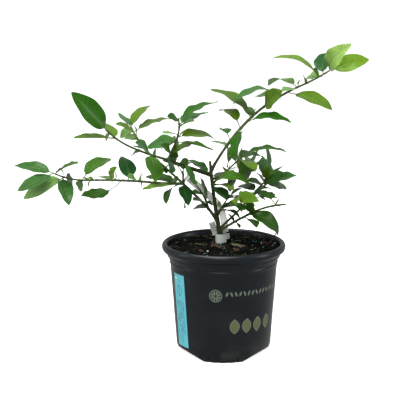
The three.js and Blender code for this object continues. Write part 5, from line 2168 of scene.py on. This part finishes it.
    def add_fibres(self, piece: Piece, rng: Random) -> None:
        """Adds thin curved strands, and the dried twig at the rim.

        A strand's direction turns evenly along it. It is held inside the pot, follows the surface
        and rises from it as half a wave of a sine.
        """
        x, y = self.spots(rng, self.fibres)
        taper = np.array(self.fibre_taper)
        t = np.linspace(0, 1, len(taper))
        for k in range(self.fibres):
            length, turn = rng.uniform(*self.fibre_length), rng.uniform(0, 2 * math.pi)
            angle = turn + rng.uniform(-self.fibre_bend, self.fibre_bend) * t
            px = x[k] + np.cumsum(np.cos(angle)) * length / len(taper)
            py = y[k] + np.cumsum(np.sin(angle)) * length / len(taper)
            inside = np.minimum(1, (self.edge_radius - self.fibre_margin) / np.maximum(np.hypot(px, py), 1))
            px, py = px * inside, py * inside
            arch = self.fibre_lift * np.sin(math.pi * t) * rng.uniform(*self.fibre_arch)
            centres = grid(px, py, self.level(px, py) + self.fibre_lift + arch)
            radius = rng.uniform(*self.fibre_radius) * taper
            kind = FIBRES[int(rng.choice(len(FIBRES), p=self.fibre_shares))]
            piece.add(tube(centres, radius, self.fibre_sides), kind, shade=rng.uniform())
        piece.add(tube(np.array(self.dried), np.array(self.dried_radius), self.dried_sides), DRIED_TWIG)

    def add_grains(
        self, piece: Piece, rng: Random, count: int, radius: Pair, finish: Finish
    ) -> None:
        """Adds small round grains that lie on the surface."""
        x, y = self.spots(rng, count)
        for k in range(count):
            radii = rng.uniform(*radius) * rng.uniform(*self.grain_stretch, 3)
            z = float(self.level(x[k], y[k])) + self.grain_lift[0] + self.grain_lift[1] * radii[2]
            piece.add(ball(vec(x[k], y[k], z), radii), finish, shade=rng.uniform())


CHIP_STATIONS = (-0.5, -0.22, 0.2, 0.5)
CHIP_TAPER = (0.45, 1.0, 0.9, 0.35)
CHIP_SKEW = 0.12


def chip(centre: Array, size: Array, turns: Triple, rng: Random) -> Part:
    """A splinter: four rings of four corners along its length, narrow at its ends and skewed.

    Args:
        centre: its middle.
        size: length, width and thickness.
        turns: turn about +Z, tilt and roll, in radians.
        rng: gives the unevenness of its corners.

    Returns:
        The part.
    """
    along = np.array(CHIP_STATIONS)[:, None]
    taper = np.array(CHIP_TAPER)[:, None]
    corner = np.array([[1, 1], [-1, 1], [-1, -1], [1, -1]]) * 0.5
    local = grid(along, corner[:, 0] * taper, corner[:, 1] * (0.5 + 0.5 * taper))
    local = (local + rng.uniform(-CHIP_SKEW, CHIP_SKEW, local.shape)) * size
    turn, tilt, roll = turns
    cx, sx, cy, sy = math.cos(roll), math.sin(roll), math.cos(tilt), math.sin(tilt)
    about_x = np.array([[1, 0, 0], [0, cx, -sx], [0, sx, cx]])
    about_y = np.array([[cy, 0, sy], [0, 1, 0], [-sy, 0, cy]])
    return sweep(centre + turned(local @ about_x.T @ about_y.T, math.degrees(turn)))


# Label and tag


@dataclass
class CareLabel:
    """The turquoise label on the wall: a film on a slightly larger black sheet, which shows along its top and
    right edges as a painted shadow, with plain lines.
    """

    pot: NurseryPot
    angle: float = -57.0
    width: float = 23.0
    bottom: float = 16.0
    top: float = 115.5
    thickness: float = 0.45
    sheet_steps: tuple[int, int] = (9, 13)
    disc_steps: tuple[int, int] = (3, 25)
    mark_steps: int = 13
    # the painted shadow under the film: its shift right and up, its extra width and height, and the heights
    # of its two sides off the wall
    painted_shadow_shift: Pair = (0.9, 1.6)
    painted_shadow_margin: Pair = (2.6, 2.4)
    painted_shadow_lift: Pair = (0.1, 0.35)
    ink_lift: float = 0.3
    ink: float = 0.12
    disc_thickness: float = 0.16
    disc_reach: Pair = (0.02, 0.5)
    oval: tuple[float, float, float, float] = (-6.5, 6.0, 5.2, 2.6)
    dot: tuple[float, float, float, float] = (2.0, 9.0, 1.5, 1.5)
    mark_drop: float = 30.0
    mark_height: float = 16.0
    mark_bends: Series = (-5.2, 0.0, 5.2)
    mark_half: float = 0.45
    columns: Series = (-7.0, -4.2, -1.4, 1.4, 4.2, 7.0)
    columns_drop: float = 36.0
    columns_end: Pair = (22, 16)
    dash: Pair = (3.0, 12.0)
    dash_width: float = 0.95
    dash_gap: float = 1.6
    dash_share: float = 0.88
    seeds: tuple[int, int] = (5, 6)

    def build(self) -> None:
        """Makes the black sheet of painted shadow, the film, and the marks on it."""
        piece = Piece("care_label_film", "label_film", ["care_label"])
        middle, height = (self.bottom + self.top) / 2, self.top - self.bottom
        shift, edge, (back, front) = self.painted_shadow_shift, self.painted_shadow_margin, self.painted_shadow_lift
        size = (self.width + edge[0], height + edge[1])
        # painted shadow: the black sheet, shifted right and up, shows along the film's top and right edges
        piece.add(self.sheet(shift[0], middle + shift[1], *size, back, front), BLACK_FILM_AND_PAINTED_SHADE)
        piece.add(self.sheet(0, middle, self.width, height, front, front + self.thickness), LABEL_BLUE)
        lift = self.ink_lift + self.thickness
        for x, z, width, height in self.lines():
            piece.add(self.sheet(x, z, width, height, lift, lift + self.ink), LABEL_INK)
        piece.add(self.disc(*self.oval, lift), LABEL_WHITE)
        piece.add(self.disc(*self.dot, lift), BLACK_FILM_AND_PAINTED_SHADE)
        for bend in self.mark_bends:
            piece.add(self.stroke(bend, lift), LABEL_INK)
        piece.build()

    def sheet(self, x: float, z: float, width: float, height: float, inner: float, outer: float) -> Part:
        """A rectangle of film bent round the wall, round a place given along the wall and up."""
        arc = x + np.linspace(-0.5, 0.5, self.sheet_steps[0])[:, None] * width
        up = z + np.linspace(-0.5, 0.5, self.sheet_steps[1])[None] * height
        return wall_film(self.pot, self.angle, arc, up, inner, outer)

    def disc(self, x: float, down: float, across: float, high: float, lift: float) -> Part:
        """A flat round or oval spot on the film, a distance down from its top."""
        r = np.linspace(*self.disc_reach, self.disc_steps[0])[:, None]
        a = np.linspace(0, 2 * math.pi, self.disc_steps[1])[None]
        arc, up = x + across * r * np.cos(a), self.top - down + high * r * np.sin(a)
        return wall_film(self.pot, self.angle, arc, up, lift, lift + self.disc_thickness)

    def stroke(self, bend: float, lift: float) -> Part:
        """A stroke of a plain leaf outline: it bends to the side as half a wave of a sine."""
        t = np.linspace(0, 1, self.mark_steps)
        x = bend * np.sin(math.pi * t)
        arc = np.stack([x - self.mark_half, x + self.mark_half])
        up = self.top - self.mark_drop + self.mark_height * t
        return wall_film(self.pot, self.angle, arc, up, lift, lift + self.ink)

    def lines(self) -> list[tuple[float, float, float, float]]:
        """Plain dashes in upright columns: place along and up the label, width and height of each."""
        dashes = []
        length_seed, there_seed = self.seeds
        for column, x in enumerate(self.columns):
            z, item = self.top - self.columns_drop, 0
            while z > self.bottom + self.columns_end[column % 2]:
                length = mix(*self.dash, chance(length_seed, column, item))
                if chance(there_seed, column, item) > 1 - self.dash_share:
                    dashes.append((x, z - length / 2, self.dash_width, length))
                z -= length + self.dash_gap
                item += 1
        return dashes


@dataclass
class TagTail:
    """The tag's long strip, which rises behind the trunk on a smooth curve."""

    path: tuple[Triple, ...] = (
        (1.6, 14.6, 160), (0.5, 17, 177), (-5, 20.5, 194), (-16, 23, 208), (-33, 25, 224), (-50, 25, 240),
    )
    fineness: int = 40
    sag: float = 6.0
    width: float = 9.5
    thickness: float = 0.7
    clear_steps: int = 12

    def centres(self, count: int) -> tuple[Array, Array]:
        """Evenly spaced points of the curve through the path, and its directions there.

        Between two points of the path the curve is the centripetal cubic of their neighbours, with
        the path carried on straight at its ends.
        """
        path = np.array(self.path, float)
        points = np.concatenate([[2 * path[0] - path[1]], path, [2 * path[-1] - path[-2]]])
        fine = []
        for a, b, c, d in zip(points[:-3], points[1:-2], points[2:-1], points[3:]):
            fine.append(self._cubic(a, b, c, d, np.linspace(0, 1, self.fineness, endpoint=False)[:, None]))
        curve = np.concatenate([*fine, path[-1:]])
        lengths = travelled(curve)
        at = np.linspace(0, lengths[-1], count)
        centres = np.stack([np.interp(at, lengths, curve[:, k]) for k in range(3)], -1)
        return centres, unit(np.gradient(centres, axis=0))

    def hung(self, count: int) -> tuple[Array, Array]:
        """The same curve as it hangs: it sinks evenly towards its free end."""
        centres, _ = self.centres(count)
        centres = centres - np.linspace(0, 1, count)[:, None] * vec(0, 0, self.sag)
        return centres, unit(np.gradient(centres, axis=0))

    @staticmethod
    def _cubic(a: Array, b: Array, c: Array, d: Array, t: Array) -> Array:
        """Centripetal cubic from b to c, whose neighbours are a and d."""
        steps = [max(float(np.linalg.norm(q - p)) ** 0.5, 1e-6) for p, q in ((a, b), (b, c), (c, d))]
        start = ((b - a) / steps[0] - (c - a) / (steps[0] + steps[1]) + (c - b) / steps[1]) * steps[1]
        end = ((c - b) / steps[1] - (d - b) / (steps[1] + steps[2]) + (d - c) / steps[2]) * steps[1]
        square, cube = t**2, t**3
        return (
            (2 * cube - 3 * square + 1) * b + (cube - 2 * square + t) * start
            + (3 * square - 2 * cube) * c + (cube - square) * end
        )


@dataclass
class TrunkTag:
    """The white plastic tag: a sleeve round the trunk's foot, a flap, a buckle loop and a tail."""

    tail: TagTail = field(default_factory=TagTail)
    centre: Pair = (-3.5, 6.0)
    radius: float = 7.6
    thickness: float = 0.6
    bottom: float = 148.0
    top: float = 160.5
    sleeve_steps: tuple[int, int] = (49, 8)
    flap_steps: tuple[int, int] = (5, 13)
    loop_steps: tuple[int, int] = (33, 4)
    slot_steps: tuple[int, int] = (3, 4)
    strip_columns: int = 5
    edge_wave: float = 0.6
    wall_wave: float = 0.25
    flap_centre: Triple = (-13.2, 10.3, 166.0)
    flap_size: Pair = (8.5, 18.0)
    flap_tilt: float = 20.0
    flap_curl: float = 1.4
    curl_start: float = 0.1
    flap_front: float = 0.3
    flap_marks: int = 5
    mark_start: Pair = (-2.8, 0.5)
    mark_step: float = 1.4
    mark_width: float = 0.5
    mark_length: Pair = (11.0, 15.0)
    mark_lift: Pair = (0.25, 0.72)
    mark_seed: int = 9
    loop_centre: Triple = (5.4, 4.5, 156.5)
    loop_radius: float = 4.2
    loop_flat: float = 0.55
    loop_half: float = 2.6
    loop_tilt: float = 0.4
    loop_wall: Pair = (0.5, -0.3)
    slot_half: Pair = (0.55, 1.6)
    slot_front: float = 0.6
    slot_depth: float = 0.4
    strip_marks: int = 6
    strip_mark_start: float = -0.4
    strip_mark_step: float = 0.16
    strip_mark_half: float = 0.03
    strip_mark_reach: Pair = (0.42, 0.96)
    strip_mark_shift: float = 0.05
    strip_mark_lift: float = 0.1
    strip_steps: int = 60
    strip_belly: float = 0.7
    strip_thinness: float = 0.6

    def build(self) -> None:
        """Makes the sleeve with its flap and loop, and the tail."""
        sleeve = Piece("trunk_tag_sleeve", "tag_film", ["tag_sleeve"])
        sleeve.add(self.sleeve(), TAG_WHITE)
        sleeve.add(self.flap(0.0, 0.0, *self.flap_size, 0.0, self.thickness), TAG_WHITE)
        for k in range(self.flap_marks):
            x = self.mark_start[0] + self.mark_step * k
            length = mix(*self.mark_length, chance(self.mark_seed, k, 1))
            sleeve.add(self.flap(x, self.mark_start[1], self.mark_width, length, *self.mark_lift), TAG_INK)
        sleeve.add(self.loop(), TAG_WHITE)
        # painted shade of the buckle's slot
        sleeve.add(self.slot_painted_shade(), BLACK_FILM_AND_PAINTED_SHADE)
        sleeve.build()
        strip = Piece("trunk_tag_strip", "tag_film", ["tag_tail"])
        strip.add(self.strip(-0.5, 0.5, 0.0, 1.0, 0.0), TAG_CLEAR)
        start, end = self.strip_mark_reach
        for k in range(self.strip_marks):
            left = self.strip_mark_start + self.strip_mark_step * k - self.strip_mark_half
            right = self.strip_mark_start + self.strip_mark_step * k + self.strip_mark_half
            shift = self.strip_mark_shift * (k % 2)
            strip.add(self.strip(left, right, start + shift, end, self.strip_mark_lift), TAG_INK)
        strip.build()

    def sleeve(self) -> Part:
        """A tube round the trunk whose upper edge and wall are a little uneven."""
        angle = np.linspace(0, 2 * math.pi, self.sleeve_steps[0])[:, None]
        up = np.linspace(0, 1, self.sleeve_steps[1])[None]
        z = mix(self.bottom, self.top + self.edge_wave * np.sin(angle), up)
        radius = self.radius - self.wall_wave * np.sin(3 * angle) * up

        def side(r: Array) -> Array:
            """One side of the sleeve's wall."""
            return grid(self.centre[0] + r * np.cos(angle), self.centre[1] + r * np.sin(angle), z)

        return shell(side(radius), side(radius - self.thickness))

    def flap(self, x: float, z: float, width: float, height: float, inner: float, outer: float) -> Part:
        """A flat rectangle of film in the tilted plane of the flap, slightly curled at its end."""
        tilt = self.flap_tilt * DEGREE
        a = x + np.linspace(-0.5, 0.5, self.flap_steps[0])[:, None] * width
        b = z + np.linspace(-0.5, 0.5, self.flap_steps[1])[None] * height
        curl = self.flap_curl * np.clip(b / self.flap_size[1] + self.curl_start, 0, 1) ** 2

        def side(lift: float) -> Array:
            """One side of the film."""
            px = self.flap_centre[0] + a * math.cos(tilt) - b * math.sin(tilt)
            pz = self.flap_centre[2] + a * math.sin(tilt) + b * math.cos(tilt)
            return grid(px, self.flap_centre[1] - lift + self.flap_front + curl, pz)

        return shell(side(outer), side(inner))

    def loop(self) -> Part:
        """The buckle's loop: a flat band bent to a narrow ring."""
        turn = np.linspace(0, 2 * math.pi, self.loop_steps[0])[:, None]
        up = np.linspace(-self.loop_half, self.loop_half, self.loop_steps[1])[None]

        def side(radius: float) -> Array:
            """One side of the band."""
            x = self.loop_centre[0] + radius * self.loop_flat * np.cos(turn)
            y = self.loop_centre[1] + radius * np.sin(turn)
            return grid(x, y, self.loop_centre[2] + up + self.loop_tilt * np.cos(turn))

        outer, inner = (self.loop_radius + wall for wall in self.loop_wall)
        return shell(side(outer), side(inner))

    def slot_painted_shade(self) -> Part:
        """Painted shade: a dark sheet where the buckle's slot opens, on the side towards the viewer."""
        wide, high = self.slot_half
        x = self.loop_centre[0] + np.linspace(-wide, wide, self.slot_steps[0])[:, None]
        z = self.loop_centre[2] + np.linspace(-high, high, self.slot_steps[1])[None]
        front = grid(x, self.loop_centre[1] - self.loop_radius - self.slot_front, z)
        return shell(front, front + vec(0, self.slot_depth, 0))

    def strip(self, left: float, right: float, start: float, end: float, lift: float) -> Part:
        """A strip of the tail between two places across it and two shares along it."""
        centres, ahead = self.tail.hung(self.strip_steps + 1)
        first, last = int(start * self.strip_steps), int(end * self.strip_steps) + 1
        centres, ahead = centres[first:last], ahead[first:last]
        across = unit(np.cross(ahead, vec(0, 1, 0)))
        out = unit(np.cross(across, ahead))
        sign = np.sign(-out[:, 1:2])
        place = np.linspace(left, right, self.strip_columns)
        belly = self.strip_belly * (1 - (2 * place) ** 2)

        def side(offset: float) -> Array:
            """One side of the strip, slightly bowed across."""
            lifted = (offset + belly)[None, :, None] * (out * sign)[:, None]
            return centres[:, None] + across[:, None] * (self.tail.width * place)[None, :, None] + lifted

        half = 0.5 * self.tail.thickness * self.strip_thinness
        return shell(side(half + lift), side(-half))


# Studio


@dataclass
class Studio:
    """A white floor, a white surround, soft panels of light, and the camera of the photograph."""

    camera_place: Triple = (-20.909, -1652.123, 553.119)
    camera_pitch: float = 12.2
    focal_pixels: float = 1276.5
    picture_pixels: float = 416.0
    sensor: float = 36.0
    clip: Pair = (0.05, 50.0)
    floor_radii: Series = (10, 200, 800, 2500, 10000, 60000)
    floor_sides: int = 96
    floor_white: Colour = (0.85, 0.85, 0.843)
    floor_roughness: float = 0.9
    floor_drop: float = 0.02
    floor_thickness: float = 2.0
    surround: Pair = (0.5, 0.42)
    surround_heights: Pair = (-0.3, 0.3)
    backdrop: tuple[Colour, float] = ((1.0, 1.0, 0.994), 1.05)
    panel_glint: float = 0.6
    panels: tuple[tuple[str, Series, Series, Series, float], ...] = (
        ("panel_above", (-0.25, -0.25, 1.55), (0, 0, 0.2), (1.1, 0.9), 25.0),
        ("panel_right", (1.5, -0.35, 0.75), (0, 0, 0.2), (0.5, 1.3), 9.0),
        ("panel_left", (-1.6, -0.3, 0.7), (0, 0, 0.15), (0.4, 1.2), 5.0),
        ("panel_front", (-0.3, -1.9, 1.3), (0, 0, 0.25), (1.2, 0.8), 21.0),
    )

    def build(self) -> None:
        """Makes the floor, the surround, the lights and the camera."""
        self.make_floor()
        self.make_world()
        for name, place, target, size, power in self.panels:
            self.make_panel(name, place, target, size, power)
        self.make_camera()

    def make_floor(self) -> None:
        """A round sheet of paper just below the pot. It neither lights the tree nor shades it."""
        angles = np.linspace(0, 2 * math.pi, self.floor_sides, endpoint=False)
        radii = np.array(self.floor_radii, float)[:, None]
        top = grid(radii * np.cos(angles), radii * np.sin(angles), -self.floor_drop)
        under = top[::-1] - vec(0, 0, self.floor_thickness)
        piece = Piece("studio_floor", "pot_plastic")
        paper = FloorPaper("studio_paper", self.floor_white, self.floor_roughness)
        piece.add(sweep(np.concatenate([top, under])), paper)
        floor = piece.make()
        floor.visible_diffuse = floor.visible_glossy = floor.visible_shadow = False

    def make_world(self) -> None:
        """A white surround. The camera sees it even; as a light it is dimmer, and fades with height."""
        world = bpy.data.worlds.new("studio_surround")
        bpy.context.scene.world = world
        graph = Graph(world)
        place = graph.out("TexCoord", name="Generated")
        height = graph.out("SeparateXYZ", {}, {0: place}, "Z")
        strength = graph.map_range(height, *self.surround_heights, *self.surround)
        lit = graph.out("Background", {}, {"Color": (1.0, 1.0, 1.0), "Strength": strength})
        colour, power = self.backdrop
        seen = graph.out("Background", {}, {"Color": colour, "Strength": power})
        is_seen = graph.out("LightPath", name="Is Camera Ray")
        both = graph.out("MixShader", {}, {0: is_seen, 1: lit, 2: seen})
        graph.node("OutputWorld", {}, {"Surface": both})

    def make_panel(
        self, name: str, place: Sequence[float], target: Sequence[float], size: Sequence[float], power: float
    ) -> None:
        """A soft rectangular light that faces a target and isn't seen itself.

        Args:
            name: the object's name.
            place: where it stands, in metres.
            target: the point that it faces, in metres.
            size: its two sides, in metres.
            power: in watts.
        """
        light = bpy.data.lights.new(name, "AREA")
        light.shape, light.size, light.size_y, light.energy = "RECTANGLE", *size, power
        light.specular_factor = self.panel_glint
        panel = bpy.data.objects.new(name, light)
        panel.location = place
        direction = Vector(target) - Vector(place)
        panel.rotation_euler = direction.to_track_quat("-Z", "Y").to_euler()
        panel.visible_camera = False
        bpy.context.scene.collection.objects.link(panel)

    def make_camera(self) -> None:
        """The camera, level across and pitched down, with the photograph's field of view."""
        camera = bpy.data.cameras.new("camera")
        camera.sensor_width = self.sensor
        camera.lens = self.focal_pixels * self.sensor / self.picture_pixels
        camera.clip_start, camera.clip_end = self.clip
        made = bpy.data.objects.new("camera", camera)
        made.location = np.array(self.camera_place) * MM
        made.rotation_euler = ((90 - self.camera_pitch) * DEGREE, 0, 0)
        bpy.context.scene.collection.objects.link(made)
        bpy.context.scene.camera = made
        bpy.context.scene.view_settings.view_transform = "Standard"


def main() -> None:
    """Builds the studio, then every sub-assembly in order."""
    logging.basicConfig(level=logging.INFO, format="%(message)s")
    studio = Studio()
    studio.build()
    growth = Growth()
    pot = NurseryPot()
    for part in (pot, WallPrint(pot), PottingMix(pot), CareLabel(pot), TrunkTag()):
        part.build()
    for part in (WoodyLimbs(growth), Twigs(growth), Foliage(growth)):
        part.build()


if __name__ == "__main__":
    main()
